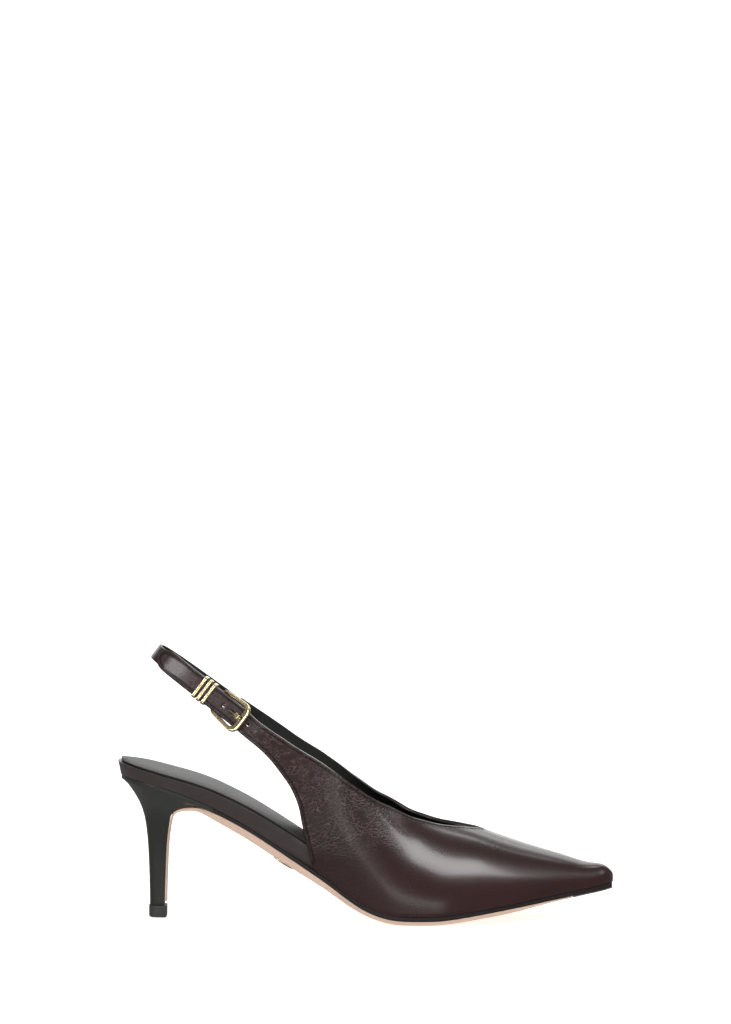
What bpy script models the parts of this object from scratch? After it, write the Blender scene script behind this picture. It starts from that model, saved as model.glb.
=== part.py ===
"""Slingback pump for the right foot, on a slim covered heel.

The shoe stands on the floor at z = 0, with its toe along +X and its outer side
along -Y. Lengths are in metres. Stations are measured along +X from the back
of the heel seat, and the whole shoe is moved to its origin at the end.
"""

import math
from collections import namedtuple

import bmesh
import bpy
import numpy as np

MM = 0.001

# Last and outline
LENGTH = 250 * MM
BALL_WIDTH = 76 * MM
SEAT_WIDTH = 49 * MM
SEAT_HEIGHT = 73.2 * MM
TOE_SPRING = 12.6 * MM
INSTEP_HEIGHT = 36.5 * MM
TOE_HEIGHT = 10.8 * MM
TOE_ROUND = 7 * MM

# Clearance between neighbouring pieces
GAP = 0.3 * MM

# Upper and sling
WALL = 1.6 * MM
STRAP_BACK_RISE = 65.8 * MM
STRAP_FRONT_RISE = 49.9 * MM
STRAP_BACK_PLACE = 19.2 * MM
STRAP_FRONT_PLACE = 71.9 * MM
STRAP_THICKNESS = 1.2 * MM
STRAP_WIDTH = 8.4 * MM
STRAP_BACK_WIDTH = 7.8 * MM
FOLD_WIDTH = 6.2 * MM
FOLD_RETURN = 2.6 * MM
SLING_LAP = 14 * MM
BILLET_WIDTH = 10.8 * MM
BILLET_LIFT = 0.8 * MM
BILLET_TIP_GAP = 3.5 * MM
EAR_WIDTH = 9.2 * MM
BILLET_POINT = 8 * MM
BILLET_HOLE = 1.8 * MM
HOLE_PITCH = 7.7 * MM
QUARTER_START_WIDTH = 10.3 * MM
LOOP_DEPTH = 26 * MM
LOOP_HALF = 18.6 * MM
LOOP_SPLAY = math.radians(11)
LOOP_BACK_PULL = 0.72
LOOP_SIDE_PULL = 0.46
TANGENT_REACH = 0.8 * MM
QUARTER_LEAD = 2 * MM
SLING_END_LEAD = 4 * MM

# Sole
INSOLE_THICKNESS = 7 * MM
RAND_FLARE = 1.4 * MM
SOCK_THICKNESS = 1.9 * MM
SOCK_EDGE_SHARE = 0.45
SOCK_INSET = 1.8 * MM
SOCK_END = 230 * MM
EDGE_THICKNESS = 1.8 * MM
SOLE_INSET = 0.3 * MM
OUTSOLE_THICKNESS = 2.6 * MM
TAP_LENGTH = 21 * MM

# Heel
HEEL_SETBACK = 15.7 * MM
HEEL_REACH = 49.5 * MM
HEEL_TIP_HEIGHT = 6 * MM
HEEL_TIP_DEPTH = 9.1 * MM
HEEL_TIP_WIDTH = 10 * MM
HEEL_TIP_BEVEL = 0.6 * MM

# Buckle and trim
BUCKLE_PLACE = 47.5 * MM
BUCKLE_LENGTH = 20.6 * MM
BUCKLE_NARROW_WIDTH = 14 * MM
BUCKLE_WIDE_WIDTH = 17.6 * MM
BUCKLE_CORNER = 4.8 * MM
BUCKLE_INNER_CORNER = 2.6 * MM
BUCKLE_THICKNESS = 2 * MM
BUCKLE_GROWTH = 0.35
NARROW_BAR = 1.5 * MM
SIDE_BAR = 2.3 * MM
WIDE_BAR = 3.7 * MM
WIDE_BAR_LEAN = 0.4
PRONG_WIDTH = 1.4 * MM
PRONG_EYE_WIDTH = 2 * MM
PRONG_TAPER = 0.9
PRONG_EYE_WALL = 0.7 * MM
FOLD_TAIL = 12 * MM
FOLD_TAIL_THICKNESS = 0.8 * MM
KEEPER_COUNT = 3
KEEPER_PLACE = 28.8 * MM
KEEPER_PITCH = 2.8 * MM
KEEPER_BAND = 1.8 * MM
KEEPER_WALL = 0.8 * MM
KEEPER_CORNER = 0.5 * MM
PLATE_PLACE = 84 * MM
PLATE_LENGTH = 13 * MM
PLATE_WIDTH = 9 * MM
PLATE_THICKNESS = 1.2 * MM

LATERAL = -1
MEDIAL = 1
FACET = 8 * MM
WALL_SPANS = 8

# Along is a share of the length. Rise is a share of the seat's height over the
# ball, spring of the toe spring, half of the half width that the ball and the
# seat give, swing of the ball width, board of the insole and sole of the outsole.
Base = namedtuple("Base", "along rise spring half swing board sole")
BASE = (
    Base(0.000, 1.000, 0.000, 1.000, 0.000, 0.93, 1.30),
    Base(0.050, 0.965, 0.000, 1.000, 0.000, 0.86, 1.30),
    Base(0.100, 0.915, 0.000, 1.000, 0.000, 0.86, 1.35),
    Base(0.164, 0.830, 0.000, 1.030, -0.003, 1.05, 1.75),
    Base(0.254, 0.664, 0.000, 0.946, -0.014, 1.25, 2.00),
    Base(0.332, 0.479, 0.000, 0.800, -0.024, 1.40, 2.00),
    Base(0.382, 0.357, 0.000, 0.755, -0.026, 1.45, 1.85),
    Base(0.425, 0.254, 0.000, 0.785, -0.025, 1.25, 1.55),
    Base(0.474, 0.120, 0.000, 0.839, -0.021, 0.95, 1.20),
    Base(0.498, 0.067, 0.000, 0.874, -0.018, 0.80, 1.05),
    Base(0.523, 0.030, 0.000, 0.913, -0.014, 0.66, 1.00),
    Base(0.560, 0.000, 0.000, 0.955, -0.009, 0.55, 1.00),
    Base(0.640, 0.000, 0.000, 0.995, 0.001, 0.45, 1.00),
    Base(0.691, 0.000, 0.120, 0.958, 0.004, 0.40, 1.00),
    Base(0.773, 0.000, 0.350, 0.805, 0.008, 0.34, 0.97),
    Base(0.892, 0.000, 0.700, 0.489, 0.017, 0.28, 0.42),
    Base(0.952, 0.000, 0.865, 0.303, 0.022, 0.25, 0.32),
    Base(1.000, 0.000, 1.000, 0.150, 0.028, 0.25, 0.27),
)

# The crown of the last over the feather line, as shares of the instep's and the
# toe's height, with the fullness of its sides and crown and the bulge of its side.
Crown = namedtuple("Crown", "along instep toe side crown bulge")
CROWN = (
    Crown(0.240, 3.84, 0.00, 0.50, 0.60, 0.06),
    Crown(0.400, 3.40, 0.00, 0.50, 0.60, 0.07),
    Crown(0.448, 2.93, 0.00, 0.50, 0.58, 0.07),
    Crown(0.474, 2.52, 0.00, 0.50, 0.56, 0.07),
    Crown(0.523, 1.926, 0.00, 0.50, 0.54, 0.06),
    Crown(0.548, 1.770, 0.00, 0.50, 0.52, 0.05),
    Crown(0.596, 1.433, 0.00, 0.50, 0.50, 0.04),
    Crown(0.620, 1.342, 0.00, 0.50, 0.50, 0.04),
    Crown(0.691, 1.134, 0.00, 0.50, 0.50, 0.04),
    Crown(0.739, 1.000, 0.00, 0.50, 0.50, 0.04),
    Crown(0.824, 0.600, 0.375, 0.50, 0.50, 0.04),
    Crown(0.896, 0.260, 0.780, 0.48, 0.54, 0.05),
    Crown(0.968, 0.000, 1.000, 0.46, 0.58, 0.06),
    Crown(0.982, 0.000, 0.850, 0.46, 0.58, 0.06),
    Crown(0.994, 0.000, 0.620, 0.46, 0.58, 0.06),
    Crown(1.000, 0.000, 0.360, 0.46, 0.58, 0.06),
)

# One row for each rib of the upper ahead of the strap: where it leaves the lower
# edge and reaches the upper edge, along the shoe and up the girth of the last, and
# how far it has turned from the strap's plane into the last.
Rib = namedtuple("Rib", "low low_girth high high_girth turn")
QUARTER = (
    Rib(0.291, 0.215, 0.324, 0.289, 0.12),
    Rib(0.313, 0.206, 0.356, 0.295, 0.32),
    Rib(0.331, 0.192, 0.392, 0.309, 0.54),
    Rib(0.348, 0.177, 0.428, 0.338, 0.74),
    Rib(0.360, 0.157, 0.460, 0.399, 0.88),
    Rib(0.368, 0.133, 0.488, 0.482, 0.96),
    Rib(0.372, 0.106, 0.516, 0.565, 1.00),
    Rib(0.377, 0.082, 0.540, 0.620, 1.00),
    Rib(0.384, 0.047, 0.564, 0.669, 1.00),
    Rib(0.390, 0.022, 0.588, 0.718, 1.00),
    Rib(0.398, 0.000, 0.610, 0.757, 1.00),
    Rib(0.432, 0.000, 0.632, 0.785, 1.00),
    Rib(0.476, 0.000, 0.656, 0.813, 1.00),
    Rib(0.524, 0.000, 0.680, 0.845, 1.00),
    Rib(0.572, 0.000, 0.702, 0.882, 1.00),
    Rib(0.620, 0.000, 0.722, 0.935, 1.00),
    Rib(0.664, 0.000, 0.739, 1.000, 1.00),
)
VAMP = (
    Rib(0.700, 0.0, 0.765, 1.0, 1.0),
    Rib(0.740, 0.0, 0.795, 1.0, 1.0),
    Rib(0.780, 0.0, 0.825, 1.0, 1.0),
    Rib(0.820, 0.0, 0.855, 1.0, 1.0),
    Rib(0.860, 0.0, 0.885, 1.0, 1.0),
    Rib(0.900, 0.0, 0.915, 1.0, 1.0),
    Rib(0.930, 0.0, 0.940, 1.0, 1.0),
    Rib(0.955, 0.0, 0.960, 1.0, 1.0),
    Rib(0.974, 0.0, 0.976, 1.0, 1.0),
    Rib(0.987, 0.0, 0.988, 1.0, 1.0),
    Rib(0.995, 0.0, 0.9955, 1.0, 1.0),
    Rib(1.000, 0.0, 1.000, 1.0, 1.0),
)
STRAIGHT_RIBS = (0.62, 0.86)
STRAP_RIBS = 12
EAR_RIBS = 4
LOOP_SECTIONS = 14

# The heel from its top piece to the seat: heights as shares from the top piece up
# to the seat, the back as a share of the setback, the breast as a share from the
# setback to the reach, and the half width as a share of the seat's.
HeelRow = namedtuple("HeelRow", "back_up set_in front_up reach half")
HEEL = (
    HeelRow(0.000, 1.03, 0.000, 0.235, 0.186),
    HeelRow(0.085, 1.03, 0.085, 0.235, 0.182),
    HeelRow(0.280, 1.01, 0.280, 0.250, 0.192),
    HeelRow(0.444, 0.98, 0.444, 0.262, 0.212),
    HeelRow(0.563, 0.936, 0.555, 0.285, 0.253),
    HeelRow(0.674, 0.866, 0.646, 0.315, 0.340),
    HeelRow(0.764, 0.739, 0.698, 0.345, 0.457),
    HeelRow(0.833, 0.580, 0.740, 0.410, 0.604),
    HeelRow(0.892, 0.414, 0.768, 0.560, 0.760),
    HeelRow(0.937, 0.265, 0.776, 0.780, 0.890),
)

# The outsole's section from its middle to its edge, as shares of its half width
# and thickness, where it lies flat on the floor and where it is rounded.
Edge = namedtuple("Edge", "flat_out flat_down round_out round_down")
SOLE_SECTION = (
    Edge(0.00, 1.00, 0.00, 1.00),
    Edge(0.50, 1.00, 0.50, 0.96),
    Edge(0.86, 1.00, 0.82, 0.78),
    Edge(0.97, 0.80, 0.95, 0.52),
    Edge(1.00, 0.40, 1.00, 0.25),
)
BREAST_SHARE = 0.42
BREAST_END = 0.03

# The buckle's bar from its outer to its inner side, as shares of breadth and of
# half thickness, with a raised outer rim.
BAR_SECTION = (
    (0.00, -0.60), (0.00, 0.60), (0.12, 1.00), (0.36, 1.00), (0.44, 0.60),
    (0.86, 0.50), (1.00, 0.10), (1.00, -0.60), (0.86, -1.00), (0.14, -1.00),
)

# A keeper's band from edge to edge, as shares of its breadth and of its wall.
KEEPER_SECTION = (
    (-0.5, 0.0), (-0.5, 0.7), (-0.2, 1.0), (0.0, 0.75), (0.2, 1.0), (0.5, 0.7), (0.5, 0.0),
)

# The plate from the sole down, as shares of its thickness and of its outline.
PLATE_LEVELS = ((0.0, 1.0), (0.45, 1.0), (0.85, 0.85), (1.0, 0.5))
PLATE_SIDES = 20

# Ribs of the billet's point, as shares of its length, and the width it starts with.
BILLET_TIP = (0, 0.04, 0.16, 0.38, 0.68, 1)
BILLET_TIP_WIDTH = 0.16


class Curve:
    """A smooth curve through the rows of a table, which never overshoots them."""

    def __init__(self, places, values):
        self.places = np.asarray(places, float)
        self.values = np.asarray(values, float)
        step = np.diff(self.places)
        rise = np.diff(self.values) / step
        slope = np.zeros(len(self.values))
        slope[0] = rise[0]
        slope[-1] = rise[-1]
        for i in range(1, len(rise)):
            if rise[i - 1] * rise[i] > 0:
                before = 2 * step[i] + step[i - 1]
                after = step[i] + 2 * step[i - 1]
                slope[i] = (before + after) / (before / rise[i - 1] + after / rise[i])
        self.slopes = slope

    def __call__(self, place):
        place = min(max(place, self.places[0]), self.places[-1])
        i = int(np.searchsorted(self.places, place, side="right")) - 1
        i = min(max(i, 0), len(self.places) - 2)
        step = self.places[i + 1] - self.places[i]
        u = (place - self.places[i]) / step
        start = (1 + 2 * u) * (1 - u) ** 2 * self.values[i]
        end = u * u * (3 - 2 * u) * self.values[i + 1]
        leaving = u * (1 - u) ** 2 * step * self.slopes[i]
        arriving = u * u * (1 - u) * step * self.slopes[i + 1]
        return start + end + leaving - arriving


def column(rows, name, place="along"):
    """Return the smooth curve of one column of a table."""
    return Curve([getattr(row, place) for row in rows], [getattr(row, name) for row in rows])


def ease(value, start, end):
    """Return 0 before start and 1 after end, with a smooth change between."""
    share = min(max((value - start) / (end - start), 0.0), 1.0)
    return share * share * (3 - 2 * share)


def mix(first, second, share):
    """Return the value at a share of the way from first to second."""
    return first + (second - first) * share


def bezier(points, share):
    """Return the point of a cubic curve at a share of its parameter."""
    rest = 1 - share
    weights = (rest ** 3, 3 * rest ** 2 * share, 3 * rest * share ** 2, share ** 3)
    return sum(weight * np.asarray(point, float) for weight, point in zip(weights, points))


RISE = column(BASE, "rise")
SPRING = column(BASE, "spring")
HALF = column(BASE, "half")
SWING = column(BASE, "swing")
BOARD = column(BASE, "board")
SOLE = column(BASE, "sole")
INSTEP = column(CROWN, "instep")
TOE = column(CROWN, "toe")
SIDE_FULLNESS = column(CROWN, "side")
CROWN_FULLNESS = column(CROWN, "crown")
BULGE = column(CROWN, "bulge")

SEAT_ROUND = SEAT_WIDTH / 2
SOLE_BUILD = OUTSOLE_THICKNESS + EDGE_THICKNESS + 2 * GAP
WIDENING_START = 0.2 * LENGTH
WIDENING_END = 0.6 * LENGTH
FLAT_START = 0.56 * LENGTH
FLAT_END = 0.64 * LENGTH
TAP_START = LENGTH - TAP_LENGTH
SOLE_START = HEEL_REACH + GAP
UPPER_START = 0.325 * LENGTH
UPPER_FULL = 0.372 * LENGTH
TOE_NARROWING = 0.97 * LENGTH
WAIST_START = 0.24 * LENGTH
WAIST_END = 0.38 * LENGTH


def feather(x):
    """Return the height of the feather line, where upper and insole meet the sole."""
    along = x / LENGTH
    seat = RISE(along) * (SEAT_HEIGHT - SOLE_BUILD)
    return SOLE_BUILD + seat + SPRING(along) * TOE_SPRING


def swing(x):
    """Return how far the middle of the outline lies to the medial side."""
    return SWING(x / LENGTH) * BALL_WIDTH


def half_width(x):
    """Return the outline's half width, rounded off at the seat and at the toe."""
    reference = mix(SEAT_WIDTH, BALL_WIDTH, ease(x, WIDENING_START, WIDENING_END)) / 2
    half = HALF(x / LENGTH) * reference
    if x < SEAT_ROUND:
        half *= math.sqrt(max(1 - ((SEAT_ROUND - x) / SEAT_ROUND) ** 2, 0))
    if x > LENGTH - TOE_ROUND:
        half *= math.sqrt(max(1 - ((x - LENGTH + TOE_ROUND) / TOE_ROUND) ** 2, 0))
    return half


def stations():
    """Return the places along the shoe at which its flat layers have a section."""
    turns = [math.radians(turn) for turn in (0, 18, 36, 54, 72)]
    places = [SEAT_ROUND * (1 - math.cos(turn)) for turn in turns]
    stops = [SEAT_ROUND, HEEL_REACH, SOLE_START, FLAT_START, FLAT_END]
    stops += [TAP_START - GAP, TAP_START, LENGTH - TOE_ROUND]
    for start, end in zip(stops, stops[1:]):
        count = max(1, round((end - start) / FACET))
        places += [mix(start, end, i / count) for i in range(count)]
    places += [LENGTH - TOE_ROUND + TOE_ROUND * math.sin(turn) for turn in turns]
    return places + [LENGTH]


STATIONS = stations()


def outline(inset):
    """Return the outline moved in by inset(x), as lateral and medial rows of x, y."""
    lateral = [(x, swing(x) - half_width(x)) for x in STATIONS]
    medial = [(x, swing(x) + half_width(x)) for x in STATIONS]
    loop = np.array(lateral + medial[-2:0:-1])
    ahead = np.roll(loop, -1, axis=0) - loop
    ahead /= np.linalg.norm(ahead, axis=1)[:, None]
    tangent = ahead + np.roll(ahead, 1, axis=0)
    tangent /= np.linalg.norm(tangent, axis=1)[:, None]
    depth = np.array([inset(x) for x in loop[:, 0]])[:, None]
    moved = loop + np.column_stack((-tangent[:, 1], tangent[:, 0])) * depth
    count = len(STATIONS)
    return moved[:count], np.vstack((moved[:1], moved[count:][::-1], moved[count - 1:count]))


def board_inset(x):
    """Return how far the insole lies inside the outline, to clear the upper's wall."""
    nose = 2 * GAP * ease(x, TOE_NARROWING, LENGTH)
    return (WALL + GAP) * ease(x, UPPER_START, UPPER_FULL) + nose


def flare(x):
    """Return how far the rand's lower edge lies inside its upper edge."""
    return RAND_FLARE * (1 - ease(x, WAIST_START, WAIST_END))


def sole_inset(x):
    """Return how far the sole lies inside the outline."""
    return SOLE_INSET + flare(x)


def insole_top(x):
    """Return the height of the insole's upper face."""
    return feather(x) + BOARD(x / LENGTH) * INSOLE_THICKNESS


def material(name, colour, roughness, metallic=0.0):
    """Return a plain Principled material."""
    result = bpy.data.materials.new(name)
    result.use_nodes = True
    shader = result.node_tree.nodes["Principled BSDF"]
    shader.inputs["Base Color"].default_value = (*colour, 1.0)
    shader.inputs["Roughness"].default_value = roughness
    shader.inputs["Metallic"].default_value = metallic
    result.diffuse_color = (*colour, 1.0)
    return result


def add_object(name, mesh_data, look, sharp=40):
    """Turn a bmesh into a named object at the shoe's place and return it."""
    bmesh.ops.remove_doubles(mesh_data, verts=mesh_data.verts, dist=0.001 * MM)
    mesh = bpy.data.meshes.new(name)
    mesh_data.to_mesh(mesh)
    mesh_data.free()
    mesh.materials.append(look)
    mesh.shade_smooth()
    mesh.set_sharp_from_angle(angle=math.radians(sharp))
    result = bpy.data.objects.new(name, mesh)
    bpy.context.scene.collection.objects.link(result)
    return result


def loft(name, rings, look, caps=True, sharp=40):
    """Make one solid from closed rings of equally many points."""
    data = bmesh.new()
    rows = [[data.verts.new(point) for point in ring] for ring in rings]
    for lower, upper in zip(rows, rows[1:]):
        for i in range(len(lower)):
            j = (i + 1) % len(lower)
            data.faces.new((lower[i], lower[j], upper[j], upper[i]))
    if caps:
        data.faces.new(rows[0])
        data.faces.new(rows[-1])
    else:
        for row in (rows[0], rows[-1]):
            cap_across(data, row)
    bmesh.ops.recalc_face_normals(data, faces=data.faces)
    return add_object(name, data, look, sharp)


def cap_across(data, row):
    """Close a ring that mirrors itself about its first point with strips across."""
    count = len(row)
    for i in range((count - 1) // 2):
        corners = (row[i], row[i + 1], row[-i - 1], row[-i])
        data.faces.new(dict.fromkeys(corners))


def slab_rings(top_sides, bottom_sides, top, bottom, across, first=0, last=None):
    """Return the rings of a layer, with heights from top(x, v) and bottom(x, v)."""
    rings = []
    rows = list(zip(*top_sides, *bottom_sides))
    for top_left, top_right, low_left, low_right in rows[first:last]:
        ring = []
        for v in across:
            x, y = mix(top_left, top_right, v)
            ring.append((x, y, top(x, v)))
        for v in reversed(across):
            x, y = mix(low_left, low_right, v)
            ring.append((x, y, bottom(x, v)))
        rings.append(ring)
    return rings


def make_insole(look):
    """Make the covered insole, whose edge is the rand at the back."""
    top_sides = outline(board_inset)
    bottom_sides = outline(lambda x: board_inset(x) + flare(x))
    rings = slab_rings(
        top_sides, bottom_sides, lambda x, v: insole_top(x), lambda x, v: feather(x), (0, 0.5, 1)
    )
    return loft("insole", rings, look)


def make_sock(look):
    """Make the padded sock lining, slightly domed, on top of the insole."""
    sides = outline(lambda x: board_inset(x) + SOCK_INSET)
    last = 1 + max(i for i, x in enumerate(STATIONS) if x <= SOCK_END)

    def top(x, v):
        """Return the height of the domed upper face."""
        dome = 1 - (2 * v - 1) ** 4
        return insole_top(x) + GAP + SOCK_THICKNESS * mix(SOCK_EDGE_SHARE, 1.0, dome)

    across = (0, 0.08, 0.22, 0.5, 0.78, 0.92, 1)
    rings = slab_rings(sides, sides, top, lambda x, v: insole_top(x) + GAP, across, 0, last)
    return loft("sock_lining", rings, look)


def edge_bottom(x):
    """Return the height of the lower face of the dark sole edge."""
    return feather(x) - GAP - EDGE_THICKNESS


def make_sole_edge(look):
    """Make the dark layer between the insole and the outsole, ahead of the heel."""
    sides = outline(sole_inset)
    rings = slab_rings(
        sides, sides, lambda x, v: feather(x) - GAP, lambda x, v: edge_bottom(x),
        (0, 0.5, 1), STATIONS.index(SOLE_START),
    )
    return loft("sole_edge", rings, look)


def heel_rows():
    """Return each section's back x, z, front x, z and half width below the seat."""
    base = HEEL_TIP_HEIGHT + GAP
    rows = []
    for row in HEEL:
        back = (row.set_in * HEEL_SETBACK, mix(base, SEAT_HEIGHT, row.back_up))
        front_x = mix(HEEL_SETBACK, HEEL_REACH, row.reach)
        front = (front_x, mix(base, SEAT_HEIGHT, row.front_up))
        rows.append((*back, *front, row.half))
    return rows


def seat_shape():
    """Return the seat's outline to the breast, with the share along and half widths."""
    lateral, medial = outline(sole_inset)
    count = STATIONS.index(HEEL_REACH) + 1
    places = lateral[:count, 0]
    shares = (places - places[0]) / (places[-1] - places[0])
    halves = (medial[:count, 1] - lateral[:count, 1]) / 2
    middles = (medial[:count, 1] + lateral[:count, 1]) / 2
    return places, shares, halves, middles


def heel_ring(points, middles):
    """Return a ring from the back round both sides, given x, z and half widths."""
    near = [(x, middle - half, z) for (x, z, half), middle in zip(points, middles)]
    far = [(x, middle + half, z) for (x, z, half), middle in zip(points, middles)]
    return near + far[:0:-1]


def make_heel(look):
    """Make the heel as sections that tilt from level up to the slope of the seat."""
    places, shares, halves, middles = seat_shape()
    rings = []
    for back_x, back_z, front_x, front_z, half in heel_rows():
        points = []
        for share, full in zip(shares, halves):
            points.append((mix(back_x, front_x, share), mix(back_z, front_z, share), full * half))
        rings.append(heel_ring(points, middles * half))
    for height in (edge_bottom, lambda x: feather(x) - GAP):
        points = [(x, height(x), half) for x, half in zip(places, halves)]
        rings.append(heel_ring(points, middles))
    return loft("heel", rings, look, caps=False)


def make_heel_tip(look):
    """Make the top piece, flat on the floor, with a bevelled lower rim."""
    shares = seat_shape()[1]
    halves = seat_shape()[2]
    rings = []
    levels = ((HEEL_TIP_HEIGHT, 0.0), (HEEL_TIP_BEVEL, 0.0), (0.0, HEEL_TIP_BEVEL))
    for z, bevel in levels:
        points = []
        for share, half in zip(shares, halves / max(halves)):
            x = HEEL_SETBACK + mix(bevel, HEEL_TIP_DEPTH - bevel, share)
            points.append((x, z, half * (HEEL_TIP_WIDTH / 2 - bevel)))
        rings.append(heel_ring(points, [0.0] * len(points)))
    return loft("heel_tip", rings, look, caps=False)


def sole_path():
    """Return x, z, both half widths' ends, thickness and roundness down the sole.

    The path climbs the heel's breast, turns under the seat and runs to the toe.
    """
    rows = []
    seat_half = max(seat_shape()[2])
    heel = heel_rows()
    start = mix(heel[0][3], heel[1][3], BREAST_END / HEEL[1].front_up)
    for i, (_, _, x, z, half) in enumerate(heel):
        breast = ease(i, 5, len(heel))
        thickness = OUTSOLE_THICKNESS * mix(BREAST_SHARE, SOLE(0), breast)
        rows.append((x, max(z, start), -half * seat_half, half * seat_half, thickness, 1.0))
    lateral, medial = outline(sole_inset)
    first = STATIONS.index(SOLE_START)
    for (x, near), (_, far) in zip(lateral[first:], medial[first:]):
        roundness = 1 - ease(x, WAIST_END, FLAT_START)
        thickness = OUTSOLE_THICKNESS * SOLE(x / LENGTH)
        rows.append((x, edge_bottom(x), near, far, thickness, roundness))
    return rows


def sole_rings(rows):
    """Return the outsole's rings, square to its path."""
    path = np.array([(row[0], row[1]) for row in rows])
    tangents = np.gradient(path, axis=0)
    tangents /= np.linalg.norm(tangents, axis=1)[:, None]
    rings = []
    for (x, z, near, far, thickness, roundness), (along, up) in zip(rows, tangents):
        normal = np.array((up, -along))
        middle = (near + far) / 2
        half = (far - near) / 2
        ring = []
        for side in (-1, 0, 1):
            px, pz = np.array((x, z)) + normal * GAP
            ring.append((px, middle + side * half, pz))
        section = [(MEDIAL, edge) for edge in SOLE_SECTION[::-1]]
        section += [(LATERAL, edge) for edge in SOLE_SECTION[1:]]
        for side, edge in section:
            out = mix(edge.flat_out, edge.round_out, roundness)
            down = mix(edge.flat_down, edge.round_down, roundness)
            px, pz = np.array((x, z)) + normal * (GAP + thickness * down)
            ring.append((px, middle + side * half * out, pz))
        rings.append(ring)
    return rings


def make_outsole(look, tap_look):
    """Make the tan outsole with its breast flap, and the dark toe end of the sole."""
    rings = sole_rings(sole_path())
    toe_count = len(STATIONS) - STATIONS.index(TAP_START)
    loft("outsole", rings[:-toe_count], look)
    loft("toe_tap", rings[-toe_count:], tap_look)


def under_sole(x, across):
    """Return the outsole's lowest face at x and a share of its half width."""
    depth = OUTSOLE_THICKNESS * SOLE(x / LENGTH)
    section = column(SOLE_SECTION, "round_down", "round_out")
    slope = (edge_bottom(x + MM) - edge_bottom(x - MM)) / (2 * MM)
    down = (GAP + depth * section(abs(across))) * math.hypot(1, slope)
    return edge_bottom(x) - down


def make_plate(look):
    """Make the plain domed plate that lies on the waist of the outsole."""
    lean = math.atan2(edge_bottom(PLATE_PLACE + MM) - edge_bottom(PLATE_PLACE - MM), 2 * MM)
    down = np.array((math.sin(lean), 0.0, -math.cos(lean)))
    half = half_width(PLATE_PLACE)
    rings = []
    for depth, size in PLATE_LEVELS:
        ring = []
        for i in range(PLATE_SIDES):
            turn = math.tau * i / PLATE_SIDES
            x = PLATE_PLACE + math.cos(turn) * size * PLATE_LENGTH / 2 * math.cos(lean)
            y = swing(x) + math.sin(turn) * size * PLATE_WIDTH / 2
            base = np.array((x, y, under_sole(x, (y - swing(x)) / half)))
            ring.append(base + down * (GAP + depth * PLATE_THICKNESS))
        rings.append(ring)
    return loft("waist_plate", rings, look)


def last_point(x, girth, side):
    """Return the point of the last's surface at x, a share up its girth."""
    along = x / LENGTH
    floor = feather(x)
    rise = INSTEP(along) * INSTEP_HEIGHT + TOE(along) * TOE_HEIGHT
    half = half_width(x)
    corners = (
        (half, floor),
        (half * (1 + BULGE(along)), floor + SIDE_FULLNESS(along) * rise),
        (half * CROWN_FULLNESS(along), floor + rise),
        (0.0, floor + rise),
    )
    out, z = bezier(corners, girth)
    return np.array((x, swing(x) + side * out, z))


STRAP_BACK = np.array((STRAP_BACK_PLACE, 0.0, feather(STRAP_BACK_PLACE) + STRAP_BACK_RISE))
STRAP_FRONT = np.array((STRAP_FRONT_PLACE, 0.0, feather(STRAP_FRONT_PLACE) + STRAP_FRONT_RISE))
STRAP_RUN = float(np.linalg.norm(STRAP_FRONT - STRAP_BACK))
STRAP_DOWN = (STRAP_FRONT - STRAP_BACK) / STRAP_RUN
STRAP_UP = np.array((-STRAP_DOWN[2], 0.0, STRAP_DOWN[0]))
RUN_ALONG = np.array((math.cos(LOOP_SPLAY), math.sin(LOOP_SPLAY)))
RUN_OUT = np.array((-math.sin(LOOP_SPLAY), math.cos(LOOP_SPLAY)))


def loop_line():
    """Return the sling's outer face in its plane, from the back down one side."""
    end = np.array((LOOP_DEPTH, LOOP_HALF))
    handle = end - LOOP_SIDE_PULL * LOOP_DEPTH * RUN_ALONG
    corners = ((0, 0), (0, LOOP_BACK_PULL * LOOP_HALF), handle, end)
    curve = [bezier(corners, i / 16) for i in range(17)]
    beyond = (STRAP_RUN - LOOP_DEPTH) / RUN_ALONG[0]
    return np.array(curve + [end + beyond * RUN_ALONG])


LOOP = loop_line()
LOOP_LENGTHS = np.concatenate(([0], np.cumsum(np.linalg.norm(np.diff(LOOP, axis=0), axis=1))))


def loop_length(depth):
    """Return the length along the loop at a depth down the strap's plane."""
    return float(np.interp(depth, LOOP[:, 0], LOOP_LENGTHS))


def loop_at(length, offset):
    """Return the in-plane point at a length along the loop, moved outward by offset."""
    point = np.array([np.interp(length, LOOP_LENGTHS, LOOP[:, i]) for i in (0, 1)])
    ends = []
    for place in (max(length - TANGENT_REACH, 0), length + TANGENT_REACH):
        ends.append(np.array([np.interp(place, LOOP_LENGTHS, LOOP[:, i]) for i in (0, 1)]))
    tangent = (ends[1] - ends[0]) / np.linalg.norm(ends[1] - ends[0])
    if length == 0:
        tangent = np.array((0.0, 1.0))
    return point + offset * np.array((-tangent[1], tangent[0]))


def strap_point(in_plane, across, side):
    """Return the place of an in-plane point at a distance across the strap."""
    place = STRAP_BACK + STRAP_DOWN * in_plane[0] + STRAP_UP * across
    return place + np.array((0.0, side * in_plane[1], 0.0))


def wall_out(point):
    """Return how far out the strap's line lies at a point, level past its front."""
    depth = min(float(np.dot(point - STRAP_BACK, STRAP_DOWN)), STRAP_RUN)
    start = LOOP[-2] + (GAP + WALL) * RUN_OUT
    return start[1] + (depth - start[0]) * math.tan(LOOP_SPLAY)


def strap_rib(length, width, side, lift=0.0):
    """Return a rib straight across the strap, with its middle lifted up the strap's plane."""
    in_plane = loop_at(length, GAP + WALL)
    levels = [lift + width * (j / WALL_SPANS - 0.5) for j in range(WALL_SPANS + 1)]
    return [strap_point(in_plane, level, side) for level in levels]


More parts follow.
